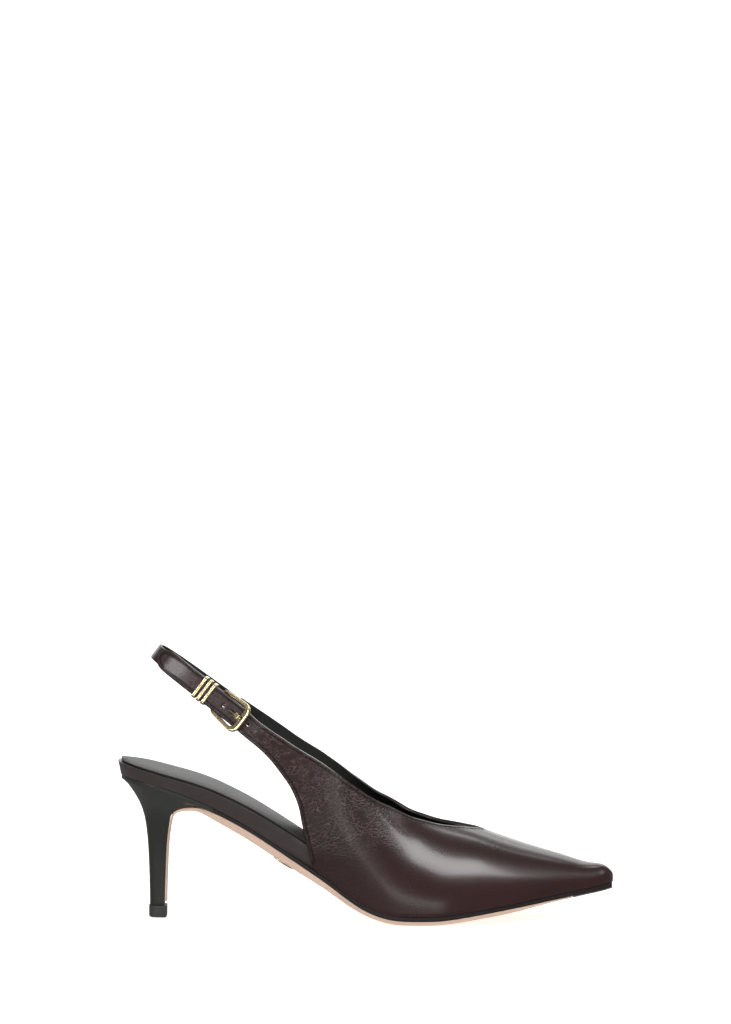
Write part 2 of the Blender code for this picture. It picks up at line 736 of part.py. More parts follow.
def girth_at(x, height):
    """Return the share up the last's girth at which it reaches a height."""
    low = 0.0
    high = 1.0
    for _ in range(30):
        middle = (low + high) / 2
        if last_point(x, middle, MEDIAL)[2] < height:
            low = middle
        else:
            high = middle
    return low


def shell_rib(row, side):
    """Return a rib up the last, turned toward the strap's plane as its row says.

    Seen from the side it is straight in the quarter. Over the vamp it rises with
    the last's girth.
    """
    rib = []
    low = last_point(row.low * LENGTH, row.low_girth, side)
    high = last_point(row.high * LENGTH, row.high_girth, side)
    over_vamp = ease(row.high_girth, *STRAIGHT_RIBS)
    for j in range(WALL_SPANS + 1):
        share = j / WALL_SPANS
        x = mix(low[0], high[0], share)
        straight = girth_at(x, mix(low[2], high[2], share))
        girth = mix(straight, mix(row.low_girth, row.high_girth, share), over_vamp)
        point = last_point(x, girth, side)
        point[1] = mix(side * wall_out(point), point[1], row.turn)
        rib.append(point)
    return rib


def quarter_rows():
    """Return the quarter's ribs, with one more between each two."""
    count = len(QUARTER)
    curves = [Curve(range(count), [row[i] for row in QUARTER]) for i in range(len(Rib._fields))]
    return [Rib(*(curve(i / 2) for curve in curves)) for i in range(2 * count - 1)]


def billet_ribs():
    """Return the ribs from the billet's rounded point down to the quarter."""
    start = loop_length(BILLET_TIP_GAP)
    end = loop_length(STRAP_RUN) - QUARTER_LEAD
    ribs = []
    for share in BILLET_TIP:
        width = BILLET_WIDTH * mix(BILLET_TIP_WIDTH, 1, math.sqrt(1 - (1 - share) ** 2))
        ribs.append(strap_rib(start + share * BILLET_POINT, width, LATERAL, BILLET_LIFT))
    for i in range(1, STRAP_RIBS + 1):
        length = mix(start + BILLET_POINT, end, i / STRAP_RIBS)
        change = ease(i, STRAP_RIBS - 3, STRAP_RIBS)
        width = mix(BILLET_WIDTH, QUARTER_START_WIDTH, change)
        ribs.append(strap_rib(length, width, LATERAL, mix(BILLET_LIFT, 0.0, change)))
    return ribs


def ear_ribs():
    """Return the ribs of the short medial ear that the sling is stitched into."""
    end = loop_length(STRAP_RUN) - QUARTER_LEAD
    ribs = []
    for i in range(EAR_RIBS + 1):
        width = mix(EAR_WIDTH, QUARTER_START_WIDTH, i / EAR_RIBS)
        ribs.append(strap_rib(mix(end - SLING_LAP, end, i / EAR_RIBS), width, MEDIAL))
    return ribs


def make_upper(look):
    """Make the upper as one wall over the last, from the billet to the other ear."""
    data = bmesh.new()
    rows = quarter_rows()
    sheets = []
    for side, strap in ((LATERAL, billet_ribs()), (MEDIAL, ear_ribs())):
        ribs = strap + [shell_rib(row, side) for row in rows + list(VAMP)]
        sheets.append([[data.verts.new(point) for point in rib] for rib in ribs])
    for side, sheet in zip((LATERAL, MEDIAL), sheets):
        for first, second in zip(sheet, sheet[1:]):
            for j in range(WALL_SPANS):
                corners = (first[j], second[j], second[j + 1], first[j + 1])
                data.faces.new(corners if side == LATERAL else corners[::-1])
    upper = add_object("upper", data, look)
    wall = upper.modifiers.new("wall", "SOLIDIFY")
    wall.thickness = WALL
    wall.offset = -1
    wall.use_even_offset = True
    wall.use_quality_normals = True
    for i, cutter in enumerate(billet_cutters()):
        cut = upper.modifiers.new(f"hole {i + 1}", "BOOLEAN")
        cut.operation = "DIFFERENCE"
        cut.solver = "EXACT"
        cut.object = cutter
    return upper


def run_point(depth, out, across=0.0):
    """Return a point by its depth down the run, distance out from the billet's middle
    and distance across the lateral strap."""
    middle = LOOP[-2] + (GAP + WALL / 2 + out) * RUN_OUT
    along = (depth - LOOP_DEPTH) / RUN_ALONG[0]
    return strap_point(middle + along * RUN_ALONG, BILLET_LIFT + across, LATERAL)


# Levels out from the middle of the billet
STRAP_OUTER = -WALL / 2 - GAP
STRAP_MIDDLE = STRAP_OUTER - STRAP_THICKNESS / 2
BAR_CLEAR = NARROW_BAR / 2 + GAP
NARROW_BAR_OUT = STRAP_OUTER - STRAP_THICKNESS - BAR_CLEAR
WIDE_BAR_OUT = WALL / 2 + GAP + BUCKLE_THICKNESS / 2 + WIDE_BAR_LEAN * WIDE_BAR / 2
BAR_SPAN = BUCKLE_LENGTH - NARROW_BAR / 2 - WIDE_BAR / 2
BUCKLE_TILT = math.asin((WIDE_BAR_OUT - NARROW_BAR_OUT) / BAR_SPAN)
NARROW_BAR_PLACE = BUCKLE_PLACE - (BUCKLE_LENGTH - NARROW_BAR) / 2 * math.cos(BUCKLE_TILT)


def buckle_place(along, out):
    """Return the depth and level of a place on the tilted buckle, from its narrow bar."""
    depth = NARROW_BAR_PLACE + along * math.cos(BUCKLE_TILT) - out * math.sin(BUCKLE_TILT)
    level = NARROW_BAR_OUT + along * math.sin(BUCKLE_TILT) + out * math.cos(BUCKLE_TILT)
    return depth, level


def rounded_frame(start, end, half_start, half_end, radii, steps=5):
    """Return the points of a trapezoid with rounded corners, as along, across."""
    corners = ((start, -half_start), (end, -half_end), (end, half_end), (start, half_start))
    points = []
    for i, corner in enumerate(corners):
        radius = radii[i in (1, 2)]
        corner = np.array(corner)
        before = np.array(corners[i - 1]) - corner
        after = np.array(corners[(i + 1) % 4]) - corner
        before /= np.linalg.norm(before)
        after /= np.linalg.norm(after)
        reach = radius / math.tan(math.acos(float(np.dot(before, after))) / 2)
        first = corner + before * reach
        second = corner + after * reach
        pull = 0.56
        handles = (first, mix(first, corner, pull), mix(second, corner, pull), second)
        points += [bezier(handles, j / steps) for j in range(steps + 1)]
    return points


def make_buckle(look):
    """Make the buckle's frame with its raised outer rim."""
    start = -NARROW_BAR / 2
    end = start + BUCKLE_LENGTH
    outer = rounded_frame(
        start, end, BUCKLE_NARROW_WIDTH / 2, BUCKLE_WIDE_WIDTH / 2, (BUCKLE_CORNER, BUCKLE_CORNER)
    )
    inner_half = BUCKLE_NARROW_WIDTH / 2 - SIDE_BAR
    inner = rounded_frame(
        start + NARROW_BAR, end - WIDE_BAR, inner_half, BUCKLE_WIDE_WIDTH / 2 - SIDE_BAR,
        (inner_half - FOLD_WIDTH / 2, BUCKLE_INNER_CORNER),
    )
    rings = []
    for outside, inside in zip(outer, inner):
        grown = ease(outside[0], start, start + BUCKLE_GROWTH * BUCKLE_LENGTH)
        half = mix(NARROW_BAR, BUCKLE_THICKNESS, grown) / 2
        ring = []
        for share, level in BAR_SECTION:
            along, across = mix(outside, inside, share)
            ring.append(run_point(*buckle_place(along, level * half), across))
        rings.append(ring)
    data = bmesh.new()
    rows = [[data.verts.new(point) for point in ring] for ring in rings]
    for lower, upper in zip(rows, rows[1:] + rows[:1]):
        for i in range(len(lower)):
            j = (i + 1) % len(lower)
            data.faces.new((lower[i], lower[j], upper[j], upper[i]))
    bmesh.ops.recalc_face_normals(data, faces=data.faces)
    return add_object("buckle_frame", data, look, 30)


def prong_line():
    """Return the prong's middle line, as depths down the run and levels out."""
    start = buckle_place(NARROW_BAR / 2 + PRONG_EYE_WALL / 2 + GAP, 0)
    low = buckle_place(0.5 * BAR_SPAN, -0.5 * BUCKLE_THICKNESS)
    high = buckle_place(0.68 * BAR_SPAN, BUCKLE_THICKNESS / 2)
    end = buckle_place(BAR_SPAN, BUCKLE_THICKNESS / 2 + GAP + PRONG_WIDTH * PRONG_TAPER / 2)
    return [bezier((start, low, high, end), i / 10) for i in range(11)]


def tube_rings(radius, taper, sides=8):
    """Return rings along the prong's line with a radius that tapers to the tip."""
    line = np.array(prong_line())
    tangents = np.gradient(line, axis=0)
    tangents /= np.linalg.norm(tangents, axis=1)[:, None]
    rings = []
    for i, ((depth, out), (along, up)) in enumerate(zip(line, tangents)):
        size = radius * mix(1, taper, i / (len(line) - 1))
        ring = []
        for k in range(sides):
            turn = math.tau * (k + 0.5) / sides
            lift = size * math.sin(turn)
            ring.append(run_point(depth - up * lift, out + along * lift, size * math.cos(turn)))
        rings.append(ring)
    return rings


def cylinder_rings(depth, out, radius, half, sides, axis):
    """Return two rings of a cylinder on the run, along its width or through its wall."""
    rings = []
    for end in (-half, half):
        ring = []
        for k in range(sides):
            turn = math.tau * (k + 0.5) / sides
            right = radius * math.cos(turn)
            up = radius * math.sin(turn)
            if axis == "across":
                ring.append(run_point(depth + right, out + up, end))
            else:
                ring.append(run_point(depth + right, out + end, up))
        rings.append(ring)
    return rings


def hide_cutter(cutter):
    """Mark an object as a cutter that isn't a piece of the shoe."""
    cutter.hide_render = True
    cutter.display_type = "WIRE"
    return cutter


def billet_cutters():
    """Return the cutters of the billet's holes, the used one shaped by the prong."""
    plain = material("cutter", (0.5, 0.5, 0.5), 0.5)
    used = tube_rings(PRONG_WIDTH / 2 + GAP, 1.0)
    cutters = [loft("cutter_used", used, plain)]
    for i, place in enumerate((BUCKLE_PLACE - HOLE_PITCH / 2, BUCKLE_PLACE + 1.5 * HOLE_PITCH)):
        rings = cylinder_rings(place, 0.0, BILLET_HOLE / 2, WALL, 8, "through")
        cutters.append(loft(f"cutter_hole_{i + 1}", rings, plain))
    return [hide_cutter(cutter) for cutter in cutters]


def make_prong(look):
    """Make the prong with the eye that turns on the buckle's narrow bar."""
    data = bmesh.new()
    half = PRONG_EYE_WIDTH / 2
    inner = NARROW_BAR / 2 + GAP
    outer = inner + PRONG_EYE_WALL
    sides = 16
    loops = []
    for radius, end in ((outer, -half), (outer, half), (inner, half), (inner, -half)):
        rings = cylinder_rings(NARROW_BAR_PLACE, NARROW_BAR_OUT, radius, abs(end), sides, "across")
        loops.append([data.verts.new(point) for point in rings[0 if end < 0 else 1]])
    for lower, upper in zip(loops, loops[1:] + loops[:1]):
        for i in range(sides):
            j = (i + 1) % sides
            data.faces.new((lower[i], lower[j], upper[j], upper[i]))
    bmesh.ops.recalc_face_normals(data, faces=data.faces)
    eye = add_object("buckle_prong", data, look)
    tongue = hide_cutter(loft("prong_tongue", tube_rings(PRONG_WIDTH / 2, PRONG_TAPER), look))
    join = eye.modifiers.new("tongue", "BOOLEAN")
    join.operation = "UNION"
    join.solver = "EXACT"
    join.object = tongue
    return eye


def make_keepers(look):
    """Make the three metal bands round the billet, the strap and its folded end."""
    half_width_inside = BILLET_WIDTH / 2 + GAP
    tail = STRAP_OUTER - STRAP_THICKNESS - GAP - FOLD_TAIL_THICKNESS
    low = tail - GAP
    high = WALL / 2 + GAP
    middle = (low + high) / 2
    half_level = (high - low) / 2
    keepers = []
    for number in range(KEEPER_COUNT):
        place = KEEPER_PLACE + number * KEEPER_PITCH
        data = bmesh.new()
        loops = []
        for along, lift in KEEPER_SECTION:
            wall = KEEPER_WALL * lift
            corner = KEEPER_CORNER + wall
            outline_points = rounded_frame(
                -half_width_inside - wall, half_width_inside + wall,
                half_level + wall, half_level + wall, (corner, corner), 3,
            )
            depth = place + along * KEEPER_BAND
            loops.append([
                data.verts.new(run_point(depth, middle + up, across)) for across, up in outline_points
            ])
        for lower, upper in zip(loops, loops[1:] + loops[:1]):
            for i in range(len(lower)):
                j = (i + 1) % len(lower)
                data.faces.new((lower[i], lower[j], upper[j], upper[i]))
        bmesh.ops.recalc_face_normals(data, faces=data.faces)
        keepers.append(add_object(f"keeper_{number + 1}", data, look, 30))
    return keepers


def sling_line():
    """Return the sling's middle line from the medial lap to its folded end.

    Each row holds the in-plane point, the thickness, the width and the lift there.
    """
    half = STRAP_THICKNESS / 2
    lap_end = loop_length(STRAP_RUN) - SLING_END_LEAD
    turn_in = loop_length(LOOP_DEPTH)
    rows = [(loop_at(lap_end, -half) * (1, MEDIAL), STRAP_THICKNESS, STRAP_WIDTH, 0.0)]
    for i in range(-LOOP_SECTIONS, LOOP_SECTIONS + 1):
        share = abs(i) / LOOP_SECTIONS
        side = MEDIAL if i < 0 else LATERAL
        width = mix(STRAP_BACK_WIDTH, STRAP_WIDTH, ease(share, 0, 1))
        lift = BILLET_LIFT * ease(share, 0, 1) if side == LATERAL else 0.0
        rows.append((loop_at(turn_in * share, -half) * (1, side), STRAP_THICKNESS, width, lift))
    radius = BAR_CLEAR + half
    narrowing = NARROW_BAR_PLACE - 2 * radius
    rows.append((lateral_row(narrowing, STRAP_MIDDLE), STRAP_THICKNESS, STRAP_WIDTH, BILLET_LIFT))
    for i in range(9):
        turn = math.radians(90 - 22.5 * i)
        depth = NARROW_BAR_PLACE + radius * math.cos(turn)
        place = lateral_row(depth, NARROW_BAR_OUT + radius * math.sin(turn))
        rows.append((place, STRAP_THICKNESS, FOLD_WIDTH, BILLET_LIFT))
    close = STRAP_OUTER - STRAP_THICKNESS - GAP - FOLD_TAIL_THICKNESS / 2
    for share in (0.25, 0.5, 0.75, 1.0):
        level = mix(NARROW_BAR_OUT - radius, close, ease(share, 0, 1))
        thickness = mix(STRAP_THICKNESS, FOLD_TAIL_THICKNESS, share)
        place = lateral_row(NARROW_BAR_PLACE - share * FOLD_RETURN, level)
        rows.append((place, thickness, FOLD_WIDTH, BILLET_LIFT))
    place = lateral_row(NARROW_BAR_PLACE - FOLD_TAIL, close)
    rows.append((place, FOLD_TAIL_THICKNESS, FOLD_WIDTH, BILLET_LIFT))
    return rows


def lateral_row(depth, out):
    """Return the in-plane point, on the lateral side, of a place on the run."""
    middle = LOOP[-2] + (GAP + WALL / 2 + out) * RUN_OUT
    along = (depth - LOOP_DEPTH) / RUN_ALONG[0]
    return (middle + along * RUN_ALONG) * (1, LATERAL)


def make_sling(look):
    """Make the sling strap with its fold round the buckle's bar and the prong's slot."""
    rows = sling_line()
    line = np.array([row[0] for row in rows])
    tangents = np.gradient(line, axis=0)
    tangents /= np.linalg.norm(tangents, axis=1)[:, None]
    rings = []
    for (point, thickness, width, lift), tangent in zip(rows, tangents):
        normal = np.array((-tangent[1], tangent[0])) * thickness / 2
        half = width / 2
        ring = []
        for side, across in ((1, half), (1, -half), (-1, -half), (-1, half)):
            ring.append(strap_point(point + side * normal, lift + across, 1))
        rings.append(ring)
    sling = loft("sling_strap", rings, look)
    reach = NARROW_BAR / 2 + GAP + PRONG_EYE_WALL + GAP
    slot = bmesh.new()
    corners = []
    for depth in (NARROW_BAR_PLACE - reach, NARROW_BAR_PLACE + 3 * reach):
        for out in (NARROW_BAR_OUT - 3 * reach, -WALL / 2):
            for across in (-1, 1):
                width = across * (PRONG_EYE_WIDTH / 2 + GAP)
                corners.append(slot.verts.new(run_point(depth, out, width)))
    bmesh.ops.convex_hull(slot, input=corners)
    bmesh.ops.recalc_face_normals(slot, faces=slot.faces)
    cutter = hide_cutter(add_object("cutter_slot", slot, look))
    cut = sling.modifiers.new("slot", "BOOLEAN")
    cut.operation = "DIFFERENCE"
    cut.solver = "EXACT"
    cut.object = cutter
    return sling


def place_shoe():
    """Move every mesh so that the middle of the shoe's box lies over the origin."""
    upper = bpy.data.objects["upper"].data
    across = [vertex.co.y for vertex in upper.vertices]
    shift = np.array((-LENGTH / 2, -(min(across) + max(across)) / 2, 0.0))
    for item in bpy.data.objects:
        for vertex in item.data.vertices:
            vertex.co += type(vertex.co)(shift)


def main():
    """Build the shoe."""
    for item in list(bpy.data.objects):
        bpy.data.objects.remove(item)
    leather = material("upper leather", (0.035, 0.014, 0.014), 0.28)
    covered = material("covered insole", (0.055, 0.042, 0.040), 0.45)
    sock = material("sock lining", (0.030, 0.028, 0.028), 0.55)
    edge = material("sole edge", (0.012, 0.007, 0.006), 0.45)
    tan = material("outsole leather", (0.66, 0.46, 0.34), 0.50)
    rubber = material("toe and heel rubber", (0.055, 0.055, 0.050), 0.60)
    cover = material("heel cover", (0.030, 0.029, 0.029), 0.32)
    metal = material("pale gold metal", (0.78, 0.66, 0.36), 0.22, 1.0)
    make_upper(leather)
    make_sling(leather)
    make_insole(covered)
    make_sock(sock)
    make_sole_edge(edge)
    make_outsole(tan, rubber)
    make_heel(cover)
    make_heel_tip(rubber)
    make_buckle(metal)
    make_prong(metal)
    make_keepers(metal)
    make_plate(metal)
    place_shoe()


main()
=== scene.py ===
"""The slingback pump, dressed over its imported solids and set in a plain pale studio.

The toe points along +X, the outer side lies along -Y and the floor is at z = 0.
Lengths are in metres.
"""

import logging
import math
from dataclasses import dataclass, field
from enum import Enum
from typing import Any

import bmesh
import bpy
from mathutils import Matrix, Vector
from mathutils.bvhtree import BVHTree
from mathutils.kdtree import KDTree


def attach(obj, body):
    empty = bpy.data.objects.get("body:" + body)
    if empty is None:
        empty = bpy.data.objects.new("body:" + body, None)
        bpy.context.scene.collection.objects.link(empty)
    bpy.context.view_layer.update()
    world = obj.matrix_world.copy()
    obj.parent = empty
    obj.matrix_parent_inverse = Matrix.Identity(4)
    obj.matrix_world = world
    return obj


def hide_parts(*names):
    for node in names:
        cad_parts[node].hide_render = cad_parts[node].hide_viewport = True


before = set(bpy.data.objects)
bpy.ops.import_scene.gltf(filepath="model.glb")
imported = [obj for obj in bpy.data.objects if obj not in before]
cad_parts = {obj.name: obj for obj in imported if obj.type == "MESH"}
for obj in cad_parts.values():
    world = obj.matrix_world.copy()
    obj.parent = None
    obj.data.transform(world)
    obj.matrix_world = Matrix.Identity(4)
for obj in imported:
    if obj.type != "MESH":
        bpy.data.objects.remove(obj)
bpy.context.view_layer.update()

MM = 0.001
LOG = logging.getLogger("slingback")
RIM_ATTRIBUTE = "rim_distance"
WELD = 0.002 * MM
QUAD_FACE_TURN = math.radians(35)
QUAD_SHAPE_TURN = math.radians(75)
SMOOTH_TURN = math.radians(45)
RIM_STEP = 0.5 * MM
RIM_REACH = 12 * MM
Span = tuple[float, float]
Triple = tuple[float, float, float]
Place = tuple[Vector, Vector, Vector]


class Patch(Enum):
    """The parts of a leather wall's surface, by material slot."""

    OUTSIDE = 0
    INSIDE = 1
    RIM = 2


class Surface(Enum):
    """What a flat finish is made of."""

    LEATHER = 1
    RUBBER = 2


# Node building


class Graph:
    """Adds and joins the nodes of one node tree."""

    def __init__(self, tree: bpy.types.NodeTree) -> None:
        """Start from a tree.

        Args:
            tree: The tree that the nodes go into.
        """
        self.tree = tree

    def fill(self, node: bpy.types.Node, inputs: dict[Any, Any]) -> None:
        """Set or join a node's inputs.

        Args:
            node: The node.
            inputs: Values or sockets by the input's name or number.
        """
        for name, value in inputs.items():
            if isinstance(value, bpy.types.NodeSocket):
                self.tree.links.new(value, node.inputs[name])
            else:
                node.inputs[name].default_value = value

    def add(
        self, kind: str, inputs: dict[Any, Any] | None = None, **settings: Any
    ) -> bpy.types.Node:
        """Add a node.

        Args:
            kind: The node's type name.
            inputs: Values or sockets by the input's name or number.
            settings: Properties of the node.

        Returns:
            The new node.
        """
        node = self.tree.nodes.new(kind)
        for name, value in settings.items():
            setattr(node, name, value)
        self.fill(node, inputs or {})
        return node

    def math(self, operation: str, *values: Any) -> bpy.types.NodeSocket:
        """Add a Math node.

        Args:
            operation: The operation's name.
            values: The numbers or sockets that it works on.

        Returns:
            The result's socket.
        """
        node = self.add("ShaderNodeMath", dict(enumerate(values)), operation=operation)
        return node.outputs[0]

    def remap(
        self, value: Any, edges: Span, start: float = 0.0, end: float = 1.0
    ) -> bpy.types.NodeSocket:
        """Carry a value smoothly from one range to another.

        Args:
            value: The socket that is read.
            edges: Where the change starts and ends.
            start: The result at the first edge.
            end: The result at the second edge.

        Returns:
            The result's socket.
        """
        inputs = {
            "Value": value,
            "From Min": edges[0],
            "From Max": edges[1],
            "To Min": start,
            "To Max": end,
        }
        node = self.add("ShaderNodeMapRange", inputs, interpolation_type="SMOOTHSTEP")
        return node.outputs["Result"]

    def blend(self, share: Any, first: Any, second: Any) -> bpy.types.NodeSocket:
        """Mix two colours.

        Args:
            share: The share of the second colour.
            first: The first colour or socket.
            second: The second colour or socket.

        Returns:
            The mixed colour's socket.
        """
        node = self.add("ShaderNodeMix", {0: share}, data_type="RGBA")
        for number, value in ((6, first), (7, second)):
            is_socket = isinstance(value, bpy.types.NodeSocket)
            self.fill(node, {number: value if is_socket else (*value, 1.0)})
        return node.outputs[2]

    def noise(self, place: Any, scale: Any, detail: float) -> bpy.types.Node:
        """Add a noise texture.

        Args:
            place: The coordinates' socket.
            scale: The noise's scale, a number or a socket.
            detail: How many octaves it has.

        Returns:
            The new node.
        """
        inputs = {"Vector": place, "Scale": scale, "Detail": detail}
        return self.add("ShaderNodeTexNoise", inputs)

    def vector(self, operation: str, inputs: dict[Any, Any]) -> bpy.types.NodeSocket:
        """Add a Vector Math node.

        Args:
            operation: The operation's name.
            inputs: Values or sockets by the input's name or number.

        Returns:
            The result's socket.
        """
        return self.add("ShaderNodeVectorMath", inputs, operation=operation).outputs[0]


def node_group(
    name: str, inputs: dict[str, float | None], outputs: list[str]
) -> tuple[Graph, bpy.types.Node, bpy.types.Node]:
    """Start a shader node group with named sockets.

    Args:
        name: The group's name.
        inputs: Each input's name and its usual value, a number, or None for a vector.
        outputs: The names of the number outputs.

    Returns:
        The group's graph, its input node and its output node.
    """
    tree = bpy.data.node_groups.new(name, "ShaderNodeTree")
    for label, value in inputs.items():
        kind = "NodeSocketVector" if value is None else "NodeSocketFloat"
        socket = tree.interface.new_socket(label, in_out="INPUT", socket_type=kind)
        if value is not None:
            socket.default_value = value
    for label in outputs:
        tree.interface.new_socket(label, in_out="OUTPUT", socket_type="NodeSocketFloat")
    graph = Graph(tree)
    return graph, graph.add("NodeGroupInput"), graph.add("NodeGroupOutput")


@dataclass(frozen=True)
class Crinkle:
    """The fine creases of glazed leather: thin veins between small pillows.

    Scales are in cells per metre, and the widths of vein and pillow in shares of a cell.
    """

    scale: float = 680.0
    warp: float = 0.0036
    drift_scale: float = 260.0
    drift_detail: float = 1.5
    vein_edges: Span = (0.0, 0.085)
    pillow_edges: Span = (0.0, 0.24)
    broken_scale: float = 210.0
    broken_detail: float = 3.0
    broken_edges: Span = (0.30, 0.52)
    pore_scale: float = 1700.0
    pore_detail: float = 3.0
    pore_height: float = 0.12

    def build(self) -> bpy.types.NodeTree:
        """Build the group.

        Returns:
            The group, with the outputs Veins and Height.
        """
        inputs = {"Vector": None, "Scale": self.scale, "Warp": self.warp}
        graph, given, result = node_group("glazed crinkle", inputs, ["Veins", "Height"])
        place = given.outputs["Vector"]
        drift = graph.noise(place, self.drift_scale, self.drift_detail)
        centred = graph.vector("SUBTRACT", {0: drift.outputs["Color"], 1: (0.5, 0.5, 0.5)})
        moved = graph.vector("SCALE", {0: centred, "Scale": given.outputs["Warp"]})
        warped = graph.vector("ADD", {0: place, 1: moved})
        cells = graph.add(
            "ShaderNodeTexVoronoi",
            {"Vector": warped, "Scale": given.outputs["Scale"]},
            feature="DISTANCE_TO_EDGE",
        ).outputs["Distance"]
        broken = graph.noise(place, self.broken_scale, self.broken_detail)
        kept = graph.remap(broken.outputs["Fac"], self.broken_edges)
        lines = graph.remap(cells, self.vein_edges, 1.0, 0.0)
        pillows = graph.math("MULTIPLY", graph.remap(cells, self.pillow_edges), kept)
        pores = graph.noise(place, self.pore_scale, self.pore_detail).outputs["Fac"]
        height = graph.math("MULTIPLY_ADD", pores, self.pore_height, pillows)
        graph.fill(result, {"Veins": graph.math("MULTIPLY", lines, kept), "Height": height})
        return graph.tree


@dataclass(frozen=True)
class Grain:
    """A fine even grain with a slow cloud over it, its scales in cells per metre."""

    scale: float = 1100.0
    cloud_scale: float = 30.0
    cloud_detail: float = 4.0
    cloud_edges: Span = (0.3, 0.7)
    speckle_detail: float = 2.0
    speckle_edges: Span = (0.4, 0.6)
    cell_height: float = 0.6

    def build(self) -> bpy.types.NodeTree:
        """Build the group.

        Returns:
            The group, with the outputs Cloud, Speckle and Height.
        """
        inputs = {"Vector": None, "Scale": self.scale, "Cloud Scale": self.cloud_scale}
        graph, given, result = node_group("fine grain", inputs, ["Cloud", "Speckle", "Height"])
        place, scale = given.outputs["Vector"], given.outputs["Scale"]
        cloud = graph.noise(place, given.outputs["Cloud Scale"], self.cloud_detail)
        cells = graph.add("ShaderNodeTexVoronoi", {"Vector": place, "Scale": scale})
        speck = graph.noise(place, scale, self.speckle_detail).outputs["Fac"]
        raised = graph.math("MULTIPLY", cells.outputs["Distance"], self.cell_height)
        outputs = {
            "Cloud": graph.remap(cloud.outputs["Fac"], self.cloud_edges),
            "Speckle": graph.remap(speck, self.speckle_edges),
            "Height": graph.math("ADD", raised, speck),
        }
        graph.fill(result, outputs)
        return graph.tree


@dataclass(frozen=True)
class Scuffs:
    """Long faint scratches, as on metal and on a leather sole."""

    scale: float = 60.0
    stretch: Triple = (1.0, 9.0, 9.0)
    detail: float = 5.0
    roughness: float = 0.7
    edges: Span = (0.56, 0.72)

    def build(self) -> bpy.types.NodeTree:
        """Build the group.

        Returns:
            The group, with the output Scuffs.
        """
        inputs = {"Vector": None, "Scale": self.scale}
        graph, given, result = node_group("faint scuffs", inputs, ["Scuffs"])
        stretched = graph.add(
            "ShaderNodeMapping", {"Vector": given.outputs["Vector"], "Scale": self.stretch}
        )
        noise = graph.noise(stretched.outputs[0], given.outputs["Scale"], self.detail)
        graph.fill(noise, {"Roughness": self.roughness})
        graph.fill(result, {"Scuffs": graph.remap(noise.outputs["Fac"], self.edges)})
        return graph.tree


GROUP_MAKERS = {"crinkle": Crinkle(), "grain": Grain(), "scuffs": Scuffs()}
GROUPS: dict[str, bpy.types.NodeTree] = {}


def group_node(graph: Graph, name: str, inputs: dict[str, Any]) -> bpy.types.Node:
    """Place a shared group in a material.

    Args:
        graph: The material's graph.
        name: The group's short name.
        inputs: Values or sockets by the input's name.

    Returns:
        The group's node.
    """
    if name not in GROUPS:
        GROUPS[name] = GROUP_MAKERS[name].build()
    return graph.add("ShaderNodeGroup", inputs, node_tree=GROUPS[name])


def start_material(
    name: str,
) -> tuple[bpy.types.Material, Graph, bpy.types.Node, bpy.types.NodeSocket]:
    """Start a material on Object coordinates.

    Args:
        name: The material's name.

    Returns:
        The material, its graph, its Principled node and the coordinates' socket.
    """
    result = bpy.data.materials.new(name)
    result.use_nodes = True
    graph = Graph(result.node_tree)
    place = graph.add("ShaderNodeTexCoord").outputs["Object"]
    return result, graph, result.node_tree.nodes["Principled BSDF"], place


# Finishes


@dataclass(frozen=True)
class SewnRim:
    """The groove that the seam draws beside a folded rim, and the bead between them. The groove
    is sunk by bump, and its colour is darkened with painted shade.
    """

    groove_place: float = 1.8 * MM
    groove_edges: Span = (0.20 * MM, 0.65 * MM)
    groove_depth: float = 2.4
    # painted shade: the near-black colour that the groove is darkened toward
    groove_shade_colour: Triple = (0.004, 0.002, 0.002)
    groove_shade_share: float = 0.9
    bead_rise: Span = (0.0, 0.7 * MM)
    bead_fall: Span = (0.8 * MM, 1.6 * MM)
    bead_height: float = 2.0

    def draw(
        self, graph: Graph, colour: bpy.types.NodeSocket, height: bpy.types.NodeSocket
    ) -> tuple[bpy.types.NodeSocket, bpy.types.NodeSocket]:
        """Draw groove and bead over a leather, with painted shade darkening the groove's
        colour.

        Args:
            graph: The material's graph.
            colour: The leather's colour.
            height: The leather's relief.

        Returns:
            The new colour and the new relief.
        """
        rim = graph.add("ShaderNodeAttribute", attribute_name=RIM_ATTRIBUTE).outputs["Fac"]
        off = graph.math("ABSOLUTE", graph.math("SUBTRACT", rim, self.groove_place))
        groove = graph.remap(off, self.groove_edges, 1.0, 0.0)
        # painted shade: darken the colour in the groove, as shade falls there
        painted_groove_shade = graph.math("MULTIPLY", groove, self.groove_shade_share)
        rise = graph.remap(rim, self.bead_rise)
        bead = graph.math("MULTIPLY", rise, graph.remap(rim, self.bead_fall, 1.0, 0.0))
        raised = graph.math("ADD", height, graph.math("MULTIPLY", bead, self.bead_height))
        sunk = graph.math("SUBTRACT", raised, graph.math("MULTIPLY", groove, self.groove_depth))
        return graph.blend(painted_groove_shade, colour, self.groove_shade_colour), sunk


